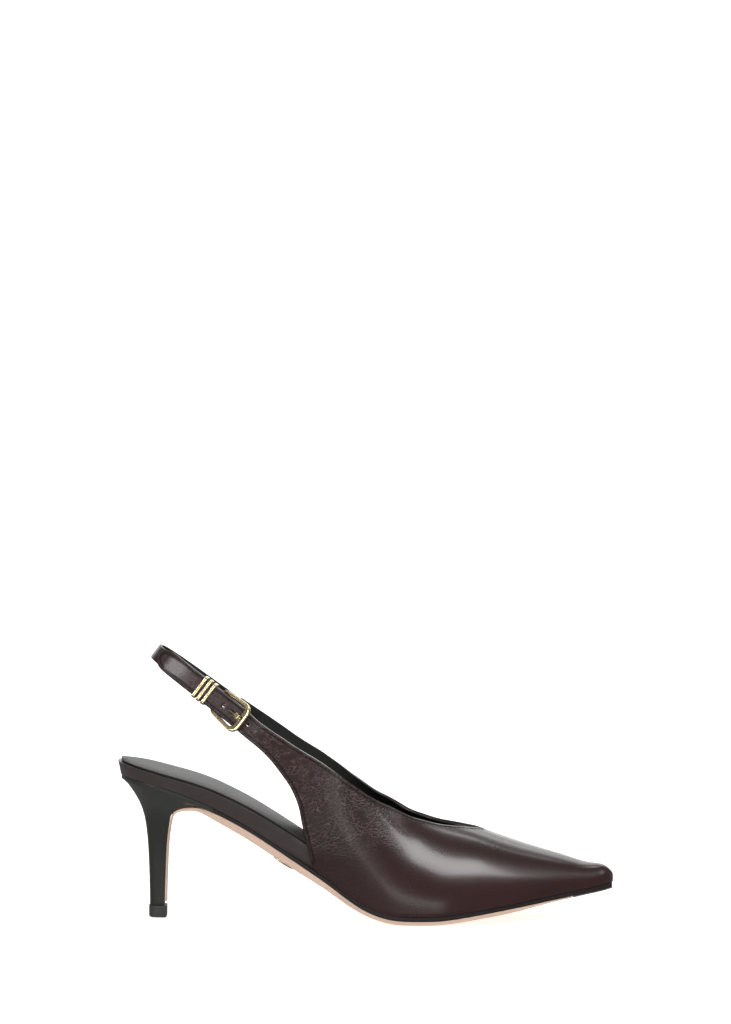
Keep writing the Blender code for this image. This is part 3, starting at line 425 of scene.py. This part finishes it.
@dataclass(frozen=True)
class GlazedLeather:
    """Glossy leather with fine creases, which fade toward toe, sole and buckle. The creases'
    veins are coloured pale as a painted highlight.
    """

    name: str
    rim: SewnRim | None = None
    colour: Triple = (0.022, 0.0080, 0.0078)
    warm: Triple = (0.038, 0.0125, 0.0115)
    # painted highlight: the pale colour laid along the crease veins, where light would catch
    # them
    vein: Triple = (0.150, 0.095, 0.082)
    cloud_share: float = 0.6
    vein_highlight_share: float = 0.6
    toe_edges: Span = (-0.012, 0.034)
    toe_share: float = 0.06
    sole_edges: Span = (0.030, 0.054)
    sole_share: float = 0.10
    buckle_edges: Span = (0.094, 0.112)
    buckle_share: float = 0.4
    flow: float = math.radians(35)
    stretch: Triple = (0.62, 0.8, 1.0)
    crinkle_scale: float = 680.0
    crinkle_warp: float = 0.0036
    grain_scale: float = 1300.0
    cloud_scale: float = 22.0
    grain_height: float = 0.09
    roughness: float = 0.27
    creased_roughness: float = 0.17
    vein_roughness: float = 0.12
    relief: float = 0.16 * MM
    relief_strength: float = 0.95
    coat: float = 0.45
    coat_roughness: float = 0.16

    def make(self) -> bpy.types.Material:
        """Build the material.

        Returns:
            The material.
        """
        result, graph, shader, place = start_material(self.name)
        axes = graph.add("ShaderNodeSeparateXYZ", {0: place}).outputs
        worked = graph.remap(axes["X"], self.toe_edges, 1.0, self.toe_share)
        lifted = graph.remap(axes["Z"], self.sole_edges, self.sole_share, 1.0)
        drawn = graph.remap(axes["Z"], self.buckle_edges, 1.0, self.buckle_share)
        creased = graph.math("MULTIPLY", graph.math("MULTIPLY", worked, lifted), drawn)
        turned = {"Vector": place, "Rotation": (0.0, self.flow, 0.0), "Scale": self.stretch}
        flowing = graph.add("ShaderNodeMapping", turned).outputs[0]
        worn = {"Vector": flowing, "Scale": self.crinkle_scale, "Warp": self.crinkle_warp}
        crinkle = group_node(graph, "crinkle", worn).outputs
        fine = {"Vector": place, "Scale": self.grain_scale, "Cloud Scale": self.cloud_scale}
        grain = group_node(graph, "grain", fine).outputs
        veins = graph.math("MULTIPLY", crinkle["Veins"], creased)
        clouded = graph.math("MULTIPLY", grain["Cloud"], self.cloud_share)
        cloudy = graph.blend(clouded, self.colour, self.warm)
        # painted highlight: blend the pale vein colour into the leather along the creases
        colour = graph.blend(graph.math("MULTIPLY", veins, self.vein_highlight_share), cloudy, self.vein)
        even = graph.math("MULTIPLY_ADD", creased, self.creased_roughness, self.roughness)
        rough = graph.math("ADD", even, graph.math("MULTIPLY", veins, self.vein_roughness))
        folds = graph.math("MULTIPLY", crinkle["Height"], creased)
        height = graph.math("MULTIPLY_ADD", grain["Height"], self.grain_height, folds)
        if self.rim:
            colour, height = self.rim.draw(graph, colour, height)
        bump = {"Strength": self.relief_strength, "Distance": self.relief, "Height": height}
        inputs = {
            "Base Color": colour,
            "Roughness": rough,
            "Normal": graph.add("ShaderNodeBump", bump).outputs[0],
            "Coat Weight": self.coat,
            "Coat Roughness": self.coat_roughness,
        }
        graph.fill(shader, inputs)
        return result


@dataclass(frozen=True)
class Satin:
    """A plain covered, lined or moulded finish with a fine grain and a slow cloud."""

    name: str
    colour: Triple
    second: Triple
    roughness: float
    coat: float = 0.0
    coat_roughness: float = 0.18
    grain_scale: float = 1100.0
    cloud_scale: float = 30.0
    speckle_roughness: float = 0.08
    relief: float = 0.06 * MM
    relief_strength: float = 0.5
    surface: Surface = Surface.LEATHER
    dust_gain: float = 1.5
    dust_share: float = 0.3

    def make(self) -> bpy.types.Material:
        """Build the material.

        Returns:
            The material.
        """
        result, graph, shader, place = start_material(self.name)
        fine = {"Vector": place, "Scale": self.grain_scale, "Cloud Scale": self.cloud_scale}
        grain = group_node(graph, "grain", fine).outputs
        colour = graph.blend(grain["Cloud"], self.colour, self.second)
        if self.surface is Surface.RUBBER:
            dusty = tuple(self.dust_gain * part for part in self.second)
            dust = graph.math("MULTIPLY", grain["Speckle"], self.dust_share)
            colour = graph.blend(dust, colour, dusty)
        values = (grain["Speckle"], self.speckle_roughness, self.roughness)
        bump = {
            "Strength": self.relief_strength,
            "Distance": self.relief,
            "Height": grain["Height"],
        }
        inputs = {
            "Base Color": colour,
            "Roughness": graph.math("MULTIPLY_ADD", *values),
            "Normal": graph.add("ShaderNodeBump", bump).outputs[0],
            "Coat Weight": self.coat,
            "Coat Roughness": self.coat_roughness,
        }
        graph.fill(shader, inputs)
        return result


@dataclass(frozen=True)
class SoleLeather:
    """Pale tan sole leather with faint scuffs, paler where it is worn under the ball."""

    name: str
    colour: Triple = (0.54, 0.385, 0.295)
    second: Triple = (0.62, 0.45, 0.355)
    worn: Triple = (0.70, 0.55, 0.45)
    grain_scale: float = 1600.0
    cloud_scale: float = 34.0
    scuff_scale: float = 70.0
    scuff_share: float = 0.35
    worn_edges: Span = (0.0, 1.2 * MM)
    worn_share: float = 0.8
    pale_share: float = 0.6
    roughness: float = 0.46
    worn_roughness: float = 0.15
    relief: float = 0.05 * MM
    relief_strength: float = 0.4

    def make(self) -> bpy.types.Material:
        """Build the material.

        Returns:
            The material.
        """
        result, graph, shader, place = start_material(self.name)
        fine = {"Vector": place, "Scale": self.grain_scale, "Cloud Scale": self.cloud_scale}
        grain = group_node(graph, "grain", fine).outputs
        scuffs = group_node(graph, "scuffs", {"Vector": place, "Scale": self.scuff_scale})
        base = graph.blend(grain["Cloud"], self.colour, self.second)
        above_floor = graph.add("ShaderNodeSeparateXYZ", {0: place}).outputs["Z"]
        low = graph.remap(above_floor, self.worn_edges, self.worn_share, 0.0)
        scuffed = graph.math("MULTIPLY", scuffs.outputs["Scuffs"], self.scuff_share)
        worn = graph.math("MAXIMUM", scuffed, low)
        bump = {
            "Strength": self.relief_strength,
            "Distance": self.relief,
            "Height": grain["Height"],
        }
        inputs = {
            "Base Color": graph.blend(
                graph.math("MULTIPLY", worn, self.pale_share), base, self.worn
            ),
            "Roughness": graph.math("MULTIPLY_ADD", worn, self.worn_roughness, self.roughness),
            "Normal": graph.add("ShaderNodeBump", bump).outputs[0],
        }
        graph.fill(shader, inputs)
        return result


@dataclass(frozen=True)
class PaleGold:
    """Polished pale gold plating with hairline scratches."""

    name: str
    colour: Triple = (0.98, 0.84, 0.55)
    second: Triple = (0.93, 0.77, 0.46)
    grain_scale: float = 2200.0
    cloud_scale: float = 260.0
    scuff_scale: float = 420.0
    roughness: float = 0.25
    scuff_roughness: float = 0.14

    def make(self) -> bpy.types.Material:
        """Build the material.

        Returns:
            The material.
        """
        result, graph, shader, place = start_material(self.name)
        fine = {"Vector": place, "Scale": self.grain_scale, "Cloud Scale": self.cloud_scale}
        cloud = group_node(graph, "grain", fine).outputs["Cloud"]
        hairlines = {"Vector": place, "Scale": self.scuff_scale}
        scuffs = group_node(graph, "scuffs", hairlines).outputs["Scuffs"]
        inputs = {
            "Base Color": graph.blend(cloud, self.colour, self.second),
            "Roughness": graph.math(
                "MULTIPLY_ADD", scuffs, self.scuff_roughness, self.roughness
            ),
            "Metallic": 1.0,
        }
        graph.fill(shader, inputs)
        return result


# Modelling by operators


def deselect_all() -> None:
    """Leave no object selected."""
    for item in bpy.context.selected_objects:
        item.select_set(False)


def choose(piece: bpy.types.Object) -> None:
    """Leave one object selected and active.

    Args:
        piece: The object.
    """
    deselect_all()
    piece.select_set(True)
    bpy.context.view_layer.objects.active = piece


def apply_modifiers(piece: bpy.types.Object) -> None:
    """Apply every modifier of a piece in its order.

    Args:
        piece: The object.
    """
    choose(piece)
    for modifier in list(piece.modifiers):
        bpy.ops.object.modifier_apply(modifier=modifier.name)


def triangle_count(piece: bpy.types.Object) -> int:
    """Count a piece's triangles.

    Args:
        piece: The object.

    Returns:
        Their number.
    """
    piece.data.calc_loop_triangles()
    return len(piece.data.loop_triangles)


def finish_piece(piece: bpy.types.Object, node: str | None = None) -> None:
    """Tie a finished piece to the shoe and report it.

    Args:
        piece: The object.
        node: The CAD node that it stands for, if any.
    """
    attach(piece, "root")
    if node:
        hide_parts(node)
    LOG.info("%s: %d triangles", piece.name, triangle_count(piece))


@dataclass
class Skin:
    """A smooth skin over one CAD node, with its hard edges kept and softened."""

    node: str
    name: str
    slot: str
    levels: int = 2
    hard_angle: float = 38.0
    rim: float = 0.3 * MM
    rim_steps: int = 2

    def copy_solid(self) -> bpy.types.Object:
        """Copy the node's mesh and give it back its four-sided faces.

        Returns:
            The new object.
        """
        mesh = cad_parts[self.node].data.copy()
        mesh.materials.clear()
        piece = bpy.data.objects.new(self.name, mesh)
        bpy.context.scene.collection.objects.link(piece)
        choose(piece)
        bpy.ops.object.mode_set(mode="EDIT")
        bpy.ops.mesh.select_all(action="SELECT")
        bpy.ops.mesh.remove_doubles(threshold=WELD)
        bpy.ops.mesh.tris_convert_to_quads(
            face_threshold=QUAD_FACE_TURN, shape_threshold=QUAD_SHAPE_TURN
        )
        bpy.ops.object.mode_set(mode="OBJECT")
        return piece

    def harden(self, piece: bpy.types.Object) -> None:
        """Crease the edges that turn by more than the hard angle.

        Args:
            piece: The object.
        """
        data = bmesh.new()
        data.from_mesh(piece.data)
        layers = data.edges.layers.float
        crease = layers.get("crease_edge") or layers.new("crease_edge")
        for edge in data.edges:
            turn = edge.calc_face_angle(math.pi)
            edge[crease] = 1.0 if turn > math.radians(self.hard_angle) else 0.0
        data.to_mesh(piece.data)
        data.free()

    def smooth(self, piece: bpy.types.Object) -> None:
        """Subdivide the skin, round its rims and shade it.

        Args:
            piece: The object.
        """
        smoother = piece.modifiers.new("smooth", "SUBSURF")
        smoother.levels = self.levels
        smoother.render_levels = self.levels
        if self.rim:
            rounding = piece.modifiers.new("rim", "BEVEL")
            rounding.width = self.rim
            rounding.segments = self.rim_steps
            rounding.limit_method = "ANGLE"
            rounding.angle_limit = math.radians(self.hard_angle)
        apply_modifiers(piece)
        bpy.ops.object.shade_smooth_by_angle(angle=SMOOTH_TURN)

    def build(self, finish: bpy.types.Material) -> bpy.types.Object:
        """Make the whole skin in one finish.

        Args:
            finish: The material.

        Returns:
            The finished piece.
        """
        piece = self.copy_solid()
        self.harden(piece)
        self.smooth(piece)
        piece.data.materials.append(finish)
        finish_piece(piece, self.node)
        return piece


@dataclass
class WallSkin(Skin):
    """A skin over a thin wall, whose outside, inside and rim are told apart."""

    def mark_patches(self, piece: bpy.types.Object) -> None:
        """Give every face the material slot of its patch.

        The two largest smooth patches are the wall's faces. The outside is the one
        that faces away from the wall's middle.

        Args:
            piece: The object, before it is subdivided.
        """
        data = bmesh.new()
        data.from_mesh(piece.data)
        data.faces.ensure_lookup_table()
        centres = (face.calc_center_median() for face in data.faces)
        middle = sum(centres, Vector()) / len(data.faces)
        seen: set[int] = set()
        patches: list[list[bmesh.types.BMFace]] = []
        for start in data.faces:
            if start.index in seen:
                continue
            seen.add(start.index)
            patch = [start]
            for face in patch:
                for edge in face.edges:
                    if edge.calc_face_angle(math.pi) > math.radians(self.hard_angle):
                        continue
                    for other in edge.link_faces:
                        if other.index not in seen:
                            seen.add(other.index)
                            patch.append(other)
            patches.append(patch)
        patches.sort(key=lambda patch: sum(face.calc_area() for face in patch), reverse=True)

        def outward(patch: list[bmesh.types.BMFace]) -> float:
            """Measure how far a patch faces away from the middle.

            Args:
                patch: The patch's faces.

            Returns:
                The sum over its faces, weighted by their areas.
            """
            return sum(
                face.normal.dot(face.calc_center_median() - middle) * face.calc_area()
                for face in patch
            )

        sides = sorted(patches[:2], key=outward)
        for face in data.faces:
            face.material_index = Patch.RIM.value
        for kind, patch in ((Patch.INSIDE, sides[0]), (Patch.OUTSIDE, sides[1])):
            for face in patch:
                face.material_index = kind.value
        data.to_mesh(piece.data)
        data.free()

    def store_rim(self, piece: bpy.types.Object, low: float) -> None:
        """Store each corner's distance from the sewn rim, the outside's longest border.

        Args:
            piece: The object.
            low: The height under which the border is lasted, not sewn.
        """
        loop = [point for point, _ in even_steps(outside_border(piece), RIM_STEP)]
        points = [point for point in loop if point.z > low]
        tree = KDTree(len(points))
        for i, point in enumerate(points):
            tree.insert(point, i)
        tree.balance()
        layer = piece.data.attributes.new(RIM_ATTRIBUTE, "FLOAT", "POINT")
        for i, vertex in enumerate(piece.data.vertices):
            layer.data[i].value = min(tree.find(vertex.co)[2], RIM_REACH)

    def build_wall(self, walls: list[bpy.types.Material]) -> bpy.types.Object:
        """Make the whole wall in its three finishes.

        Args:
            walls: The outer leather, the lining and the edge's finish.

        Returns:
            The finished piece.
        """
        piece = self.copy_solid()
        self.mark_patches(piece)
        self.harden(piece)
        self.smooth(piece)
        for finish in walls:
            piece.data.materials.append(finish)
        finish_piece(piece, self.node)
        return piece


@dataclass
class Thread:
    """A row of stitches along a path on a surface."""

    name: str
    slot: str
    pitch: float = 2.3 * MM
    length: float = 1.7 * MM
    radius: float = 0.15 * MM
    flatness: float = 0.8
    sides: int = 8
    rings: int = 6

    def one_stitch(self) -> bpy.types.Object:
        """Model one stitch, a slim flattened bead along X.

        Returns:
            The object.
        """
        deselect_all()
        bpy.ops.mesh.primitive_uv_sphere_add(
            segments=self.sides, ring_count=self.rings, radius=self.radius
        )
        stitch = bpy.context.active_object
        bpy.ops.object.mode_set(mode="EDIT")
        bpy.ops.mesh.select_all(action="SELECT")
        stretch = self.length / self.radius / 2
        bpy.ops.transform.resize(value=(stretch, 1.0, self.flatness))
        bpy.ops.object.mode_set(mode="OBJECT")
        return stitch

    def sew(self, places: list[Place], finish: bpy.types.Material) -> bpy.types.Object:
        """Set copies of the stitch along a path and join them.

        Args:
            places: Each stitch's point, direction and surface normal.
            finish: The material.

        Returns:
            The finished row.
        """
        stitch = self.one_stitch()
        data = bmesh.new()
        for point, along, up in places:
            across = up.cross(along).normalized()
            turned = Matrix((along, across, up)).transposed().to_4x4()
            start = len(data.verts)
            data.from_mesh(stitch.data)
            data.verts.ensure_lookup_table()
            moved = Matrix.Translation(point) @ turned
            bmesh.ops.transform(data, matrix=moved, verts=data.verts[start:])
        mesh = bpy.data.meshes.new(self.name)
        data.to_mesh(mesh)
        data.free()
        bpy.data.objects.remove(stitch)
        row = bpy.data.objects.new(self.name, mesh)
        bpy.context.scene.collection.objects.link(row)
        choose(row)
        bpy.ops.object.shade_smooth()
        row.data.materials.append(finish)
        finish_piece(row)
        return row


def outside_border(piece: bpy.types.Object) -> list[Vector]:
    """Walk the borders of a wall's outside and find the longest.

    Args:
        piece: The object.

    Returns:
        The points of the longest border in order.
    """
    data = bmesh.new()
    data.from_mesh(piece.data)
    links: dict[int, list[int]] = {}
    for edge in data.edges:
        kinds = [face.material_index == Patch.OUTSIDE.value for face in edge.link_faces]
        if any(kinds) and not all(kinds):
            first, second = (vert.index for vert in edge.verts)
            links.setdefault(first, []).append(second)
            links.setdefault(second, []).append(first)
    places = {vert.index: vert.co.copy() for vert in data.verts}
    data.free()
    loops: list[list[Vector]] = []
    left = set(links)
    while left:
        walk = [left.pop()]
        while True:
            ahead = [other for other in links[walk[-1]] if other in left]
            if not ahead:
                break
            walk.append(ahead[0])
            left.discard(ahead[0])
        loops.append([places[i] for i in walk])
    return max(loops, key=len)


def even_steps(loop: list[Vector], step: float) -> list[tuple[Vector, Vector]]:
    """Walk a closed line in even steps.

    Args:
        loop: The line's points.
        step: The step's length.

    Returns:
        Each step's point and direction.
    """
    result: list[tuple[Vector, Vector]] = []
    left = step
    for first, second in zip(loop, loop[1:] + loop[:1]):
        span = (second - first).length
        if span == 0:
            continue
        along = (second - first) / span
        while left <= span:
            result.append((first + along * left, along))
            left += step
        left -= span
    return result


def seam_places(piece: bpy.types.Object, inset: float, pitch: float) -> list[Place]:
    """Find the places of a seam that runs beside the longest border of a wall's outside.

    Args:
        piece: The object.
        inset: The seam's distance from the border.
        pitch: The distance between two stitches.

    Returns:
        Each stitch's point, direction and surface normal.
    """
    mesh = piece.data
    outside = [face for face in mesh.polygons if face.material_index == Patch.OUTSIDE.value]
    faces = [tuple(face.vertices) for face in outside]
    tree = BVHTree.FromPolygons([vertex.co for vertex in mesh.vertices], faces)
    places: list[Place] = []
    for point, along in even_steps(outside_border(piece), pitch):
        normal = tree.find_nearest(point)[1]
        side = normal.cross(along).normalized()
        best = None
        for turn in (side, -side):
            found = tree.find_nearest(point + turn * inset)
            if best is None or found[3] < best[3]:
                best = found
        up = best[1]
        forward = (along - up * along.dot(up)).normalized()
        places.append((best[0], forward, up))
    return places


# Sub-assemblies


@dataclass
class Upper:
    """The upper with its lining, folded rim and seam."""

    skin: WallSkin = field(
        default_factory=lambda: WallSkin("upper", "upper_skin", "upper_leather", rim=0.35 * MM)
    )
    seam_inset: float = 1.8 * MM
    lasted_height: float = 0.031

    def build(self, walls: list[bpy.types.Material], thread: bpy.types.Material) -> None:
        """Model and dress the upper.

        Args:
            walls: The outer leather, the lining and the edge's finish.
            thread: The sewing thread.
        """
        piece = self.skin.build_wall(walls)
        self.skin.store_rim(piece, self.lasted_height)
        row = Thread("upper_stitches", "upper_leather")
        places = seam_places(piece, self.seam_inset, row.pitch)
        row.sew([place for place in places if place[0].z > self.lasted_height], thread)


@dataclass
class Sling:
    """The sling strap with its lining and folded edge."""

    skin: WallSkin = field(
        default_factory=lambda: WallSkin(
            "sling_strap", "sling_skin", "upper_leather", rim=0.2 * MM
        )
    )

    def build(self, walls: list[bpy.types.Material]) -> None:
        """Model and dress the strap.

        Args:
            walls: The outer leather, the lining and the edge's finish.
        """
        self.skin.build_wall(walls)


@dataclass
class ProngCap:
    """The rounded cap on the prong's end, with a sunk top."""

    place: Triple = (-64.0 * MM, -29.3 * MM, 104.5 * MM)
    along: Triple = (0.599, -0.658, -0.458)
    across: Triple = (0.607, 0.0, 0.794)
    size: Triple = (3.2 * MM, 2.8 * MM, 1.8 * MM)
    corner: float = 0.5 * MM
    corner_steps: int = 3
    sunk_border: float = 0.45 * MM
    sunk_depth: float = 0.25 * MM

    def build(self, gold: bpy.types.Material) -> None:
        """Model the cap from a cube and set it on the prong.

        Args:
            gold: The plating.
        """
        deselect_all()
        bpy.ops.mesh.primitive_cube_add(size=1.0)
        cap = bpy.context.active_object
        cap.name = "prong_cap"
        bpy.ops.object.mode_set(mode="EDIT")
        bpy.ops.mesh.select_all(action="SELECT")
        bpy.ops.transform.resize(value=self.size)
        bpy.ops.mesh.bevel(offset=self.corner, segments=self.corner_steps)
        bpy.ops.mesh.select_mode(type="FACE")
        bpy.ops.mesh.select_all(action="DESELECT")
        bpy.ops.object.mode_set(mode="OBJECT")
        top = max(cap.data.polygons, key=lambda face: face.center.z + face.area)
        top.select = True
        bpy.ops.object.mode_set(mode="EDIT")
        bpy.ops.mesh.inset(thickness=self.sunk_border)
        bpy.ops.transform.translate(value=(0.0, 0.0, -self.sunk_depth))
        bpy.ops.object.mode_set(mode="OBJECT")
        along, across = Vector(self.along), Vector(self.across)
        turned = Matrix((along, across, along.cross(across))).transposed().to_4x4()
        cap.matrix_world = Matrix.Translation(self.place) @ turned
        bpy.ops.object.transform_apply()
        bpy.ops.object.shade_smooth_by_angle(angle=SMOOTH_TURN)
        cap.data.materials.append(gold)
        finish_piece(cap)


@dataclass
class Hardware:
    """The buckle, its prong, the keepers and the plate under the waist."""

    nodes: tuple[str, ...] = (
        "buckle_frame",
        "buckle_prong",
        "keeper_1",
        "keeper_2",
        "keeper_3",
        "waist_plate",
    )
    rim: float = 0.12 * MM
    hard_angle: float = 52.0

    def build(self, gold: bpy.types.Material) -> None:
        """Model and dress the metal pieces.

        Args:
            gold: The plating.
        """
        for node in self.nodes:
            skin = Skin(
                node,
                f"{node}_gold",
                "pale_gold_metal",
                hard_angle=self.hard_angle,
                rim=self.rim,
            )
            skin.build(gold)
        ProngCap().build(gold)


@dataclass
class Bottom:
    """The insole, sock, sole and heel: each piece's node, slot, finish and rounding."""

    parts: tuple[tuple[str, str, str, float], ...] = (
        ("insole", "covered_insole", "rand", 0.5 * MM),
        ("sock_lining", "sock_lining", "sock", 0.3 * MM),
        ("sole_edge", "sole_edge", "edge", 0.2 * MM),
        ("outsole", "outsole_leather", "sole", 0.2 * MM),
        ("toe_tap", "toe_and_heel_rubber", "tap", 0.15 * MM),
        ("heel", "heel_cover", "heel", 0.25 * MM),
        ("heel_tip", "toe_and_heel_rubber", "rubber", 0.25 * MM),
    )

    def build(self, looks: dict[str, bpy.types.Material]) -> None:
        """Model and dress the bottom's pieces.

        Args:
            looks: The finishes by name.
        """
        for node, slot, look, rim in self.parts:
            Skin(node, f"{node}_skin", slot, rim=rim).build(looks[look])


# Studio


@dataclass(frozen=True)
class Softbox:
    """One soft light, aimed at the shoe unless told otherwise."""

    name: str
    place: Triple
    size: Span
    power: float
    aim: Triple = (0.0, 0.0, 0.06)

    def build(self) -> None:
        """Set the light up."""
        lamp = bpy.data.lights.new(self.name, "AREA")
        lamp.shape = "RECTANGLE"
        lamp.size, lamp.size_y = self.size
        lamp.energy = self.power
        light = bpy.data.objects.new(self.name, lamp)
        light.location = self.place
        facing = Vector(self.aim) - Vector(self.place)
        light.rotation_euler = facing.to_track_quat("-Z", "Y").to_euler()
        light.visible_camera = False
        bpy.context.scene.collection.objects.link(light)


@dataclass(frozen=True)
class Paper:
    """The pale paper of floor and wall, which glows a little."""

    colour: Triple = (0.93, 0.93, 0.925)
    roughness: float = 0.8
    gloss: float = 0.2
    glow_colour: Triple = (1.0, 1.0, 0.995)
    glow: float = 0.62

    def make(self) -> bpy.types.Material:
        """Build the material.

        Returns:
            The material.
        """
        paper = bpy.data.materials.new("pale paper")
        paper.use_nodes = True
        inputs = {
            "Base Color": (*self.colour, 1.0),
            "Roughness": self.roughness,
            "Specular IOR Level": self.gloss,
            "Emission Color": (*self.glow_colour, 1.0),
            "Emission Strength": self.glow,
        }
        Graph(paper.node_tree).fill(paper.node_tree.nodes["Principled BSDF"], inputs)
        return paper


@dataclass
class Studio:
    """The floor, its swept back, the lights and the camera."""

    distance: float = 2.35
    elevation: float = math.radians(7.0)
    target: Triple = (0.0, 0.0, 0.066)
    aim_height: float = 0.2045
    frame_height: float = 0.517
    sensor: float = 36.0
    sight: float = 30.0
    floor_half: float = 4.0
    wall_height: float = 4.0
    sweep: float = 1.2
    sweep_steps: int = 16
    surroundings: float = 0.15
    boxes: tuple[Softbox, ...] = (
        Softbox("key", (0.60, -0.83, 1.35), (0.85, 0.60), 12.0),
        Softbox("toe side", (1.27, -0.11, 1.02), (0.50, 0.50), 1.2),
        Softbox("heel side", (-1.18, -1.51, 0.68), (0.95, 0.40), 10.0),
        Softbox("low front", (-0.10, -2.45, 0.16), (1.4, 0.3), 2.6),
        Softbox("back", (0.67, 1.16, 1.26), (0.5, 0.3), 1.0),
        Softbox("wall", (0.0, 1.2, 2.6), (2.4, 1.4), 60.0, (0.0, 4.0, 0.6)),
    )

    def sheet(self) -> bpy.types.Object:
        """Model floor and wall as one sheet, swept up at the back.

        Returns:
            The sheet, left as the only selected object.
        """
        deselect_all()
        bpy.ops.mesh.primitive_plane_add(size=2 * self.floor_half)
        piece = bpy.context.active_object
        piece.name = "studio_floor"
        bpy.ops.object.mode_set(mode="EDIT")
        bpy.ops.mesh.select_all(action="DESELECT")
        bpy.ops.object.mode_set(mode="OBJECT")
        for edge in piece.data.edges:
            edge.select = all(piece.data.vertices[i].co.y > 0 for i in edge.vertices)
        bpy.ops.object.mode_set(mode="EDIT")
        bpy.ops.mesh.select_mode(type="EDGE")
        raised = {"value": (0, 0, self.wall_height)}
        bpy.ops.mesh.extrude_region_move(TRANSFORM_OT_translate=raised)
        bpy.ops.object.mode_set(mode="OBJECT")
        for edge in piece.data.edges:
            ends = [piece.data.vertices[i].co for i in edge.vertices]
            edge.select = all(end.y > 0 and abs(end.z) < MM for end in ends)
        bpy.ops.object.mode_set(mode="EDIT")
        bpy.ops.mesh.bevel(offset=self.sweep, segments=self.sweep_steps)
        bpy.ops.object.mode_set(mode="OBJECT")
        bpy.ops.object.shade_smooth()
        return piece

    def floor(self) -> None:
        """Model floor and wall, parted so that the shoe's gloss mirrors only the wall."""
        piece = self.sheet()
        bpy.ops.object.mode_set(mode="EDIT")
        bpy.ops.mesh.select_mode(type="FACE")
        bpy.ops.mesh.select_all(action="DESELECT")
        bpy.ops.object.mode_set(mode="OBJECT")
        for face in piece.data.polygons:
            face.select = face.center.z > MM
        bpy.ops.object.mode_set(mode="EDIT")
        bpy.ops.mesh.separate(type="SELECTED")
        bpy.ops.object.mode_set(mode="OBJECT")
        wall = next(item for item in bpy.context.selected_objects if item != piece)
        wall.name = "studio_wall"
        piece.visible_glossy = False
        paper = Paper().make()
        for part in (piece, wall):
            part.data.materials.append(paper)

    def camera(self) -> None:
        """Set the camera at the photograph's place and angle."""
        target = Vector(self.target)
        back = Vector((0.0, -math.cos(self.elevation), math.sin(self.elevation)))
        place = target + back * self.distance
        data = bpy.data.cameras.new("camera")
        data.sensor_width = self.sensor
        data.lens = self.sensor * self.distance / self.frame_height
        data.clip_end = self.sight
        camera = bpy.data.objects.new("camera", data)
        camera.location = place
        aim = Vector((self.target[0], self.target[1], self.aim_height))
        camera.rotation_euler = (aim - place).to_track_quat("-Z", "Y").to_euler()
        bpy.context.scene.collection.objects.link(camera)
        bpy.context.scene.camera = camera

    def lights(self) -> None:
        """Set the soft lights and the pale surroundings."""
        world = bpy.data.worlds.new("studio")
        bpy.context.scene.world = world
        world.use_nodes = True
        inputs = {"Color": (1.0, 1.0, 1.0, 1.0), "Strength": self.surroundings}
        Graph(world.node_tree).fill(world.node_tree.nodes["Background"], inputs)
        for box in self.boxes:
            box.build()

    def build(self) -> None:
        """Set the whole studio up."""
        bpy.context.scene.view_settings.view_transform = "Standard"
        self.camera()
        self.lights()
        self.floor()


# The finishes that need no more than two colours, a roughness and a coat

LINING = Satin("lining", (0.012, 0.013, 0.012), (0.020, 0.020, 0.018), 0.50)
FOLDED = Satin("folded edge", (0.016, 0.0075, 0.007), (0.024, 0.011, 0.010), 0.30, coat=0.4)
THREAD = Satin("thread", (0.030, 0.016, 0.015), (0.045, 0.025, 0.022), 0.55)
RAND = Satin("rand cover", (0.034, 0.026, 0.024), (0.044, 0.034, 0.031), 0.36, coat=0.2)
SOCK = Satin("sock", (0.017, 0.016, 0.015), (0.024, 0.022, 0.021), 0.46)
EDGE_INK = Satin("sole edge ink", (0.014, 0.010, 0.009), (0.020, 0.014, 0.013), 0.40)
HEEL_COVER = Satin(
    "heel cover", (0.020, 0.022, 0.019), (0.027, 0.029, 0.025), 0.30, coat=0.3
)
# Grey rubber of the toe tap, coloured paler than its own grey as painted light from the floor,
# which the tap's gloss does not mirror.
TOE_TAP_WITH_FLOOR_LIGHT = Satin(
    "toe tap with painted floor light", (0.075, 0.072, 0.068), (0.090, 0.087, 0.082), 0.50, surface=Surface.RUBBER
)
TOP_PIECE = Satin(
    "rubber", (0.030, 0.030, 0.028), (0.040, 0.040, 0.037), 0.55, surface=Surface.RUBBER
)


def main() -> None:
    """Dress the shoe and set up its studio."""
    logging.basicConfig(level=logging.INFO, format="%(message)s")
    leather = GlazedLeather("glazed oxblood leather", SewnRim()).make()
    strap_leather = GlazedLeather("strap leather").make()
    lining = LINING.make()
    folded = FOLDED.make()
    thread = THREAD.make()
    looks = {
        "rand": RAND.make(),
        "sock": SOCK.make(),
        "edge": EDGE_INK.make(),
        "tap": TOE_TAP_WITH_FLOOR_LIGHT.make(),
        "sole": SoleLeather("sole leather").make(),
        "rubber": TOP_PIECE.make(),
        "heel": HEEL_COVER.make(),
    }
    gold = PaleGold("pale gold").make()
    Upper().build([leather, lining, folded], thread)
    Sling().build([strap_leather, lining, folded])
    Hardware().build(gold)
    Bottom().build(looks)
    Studio().build()


if __name__ == "__main__":
    main()
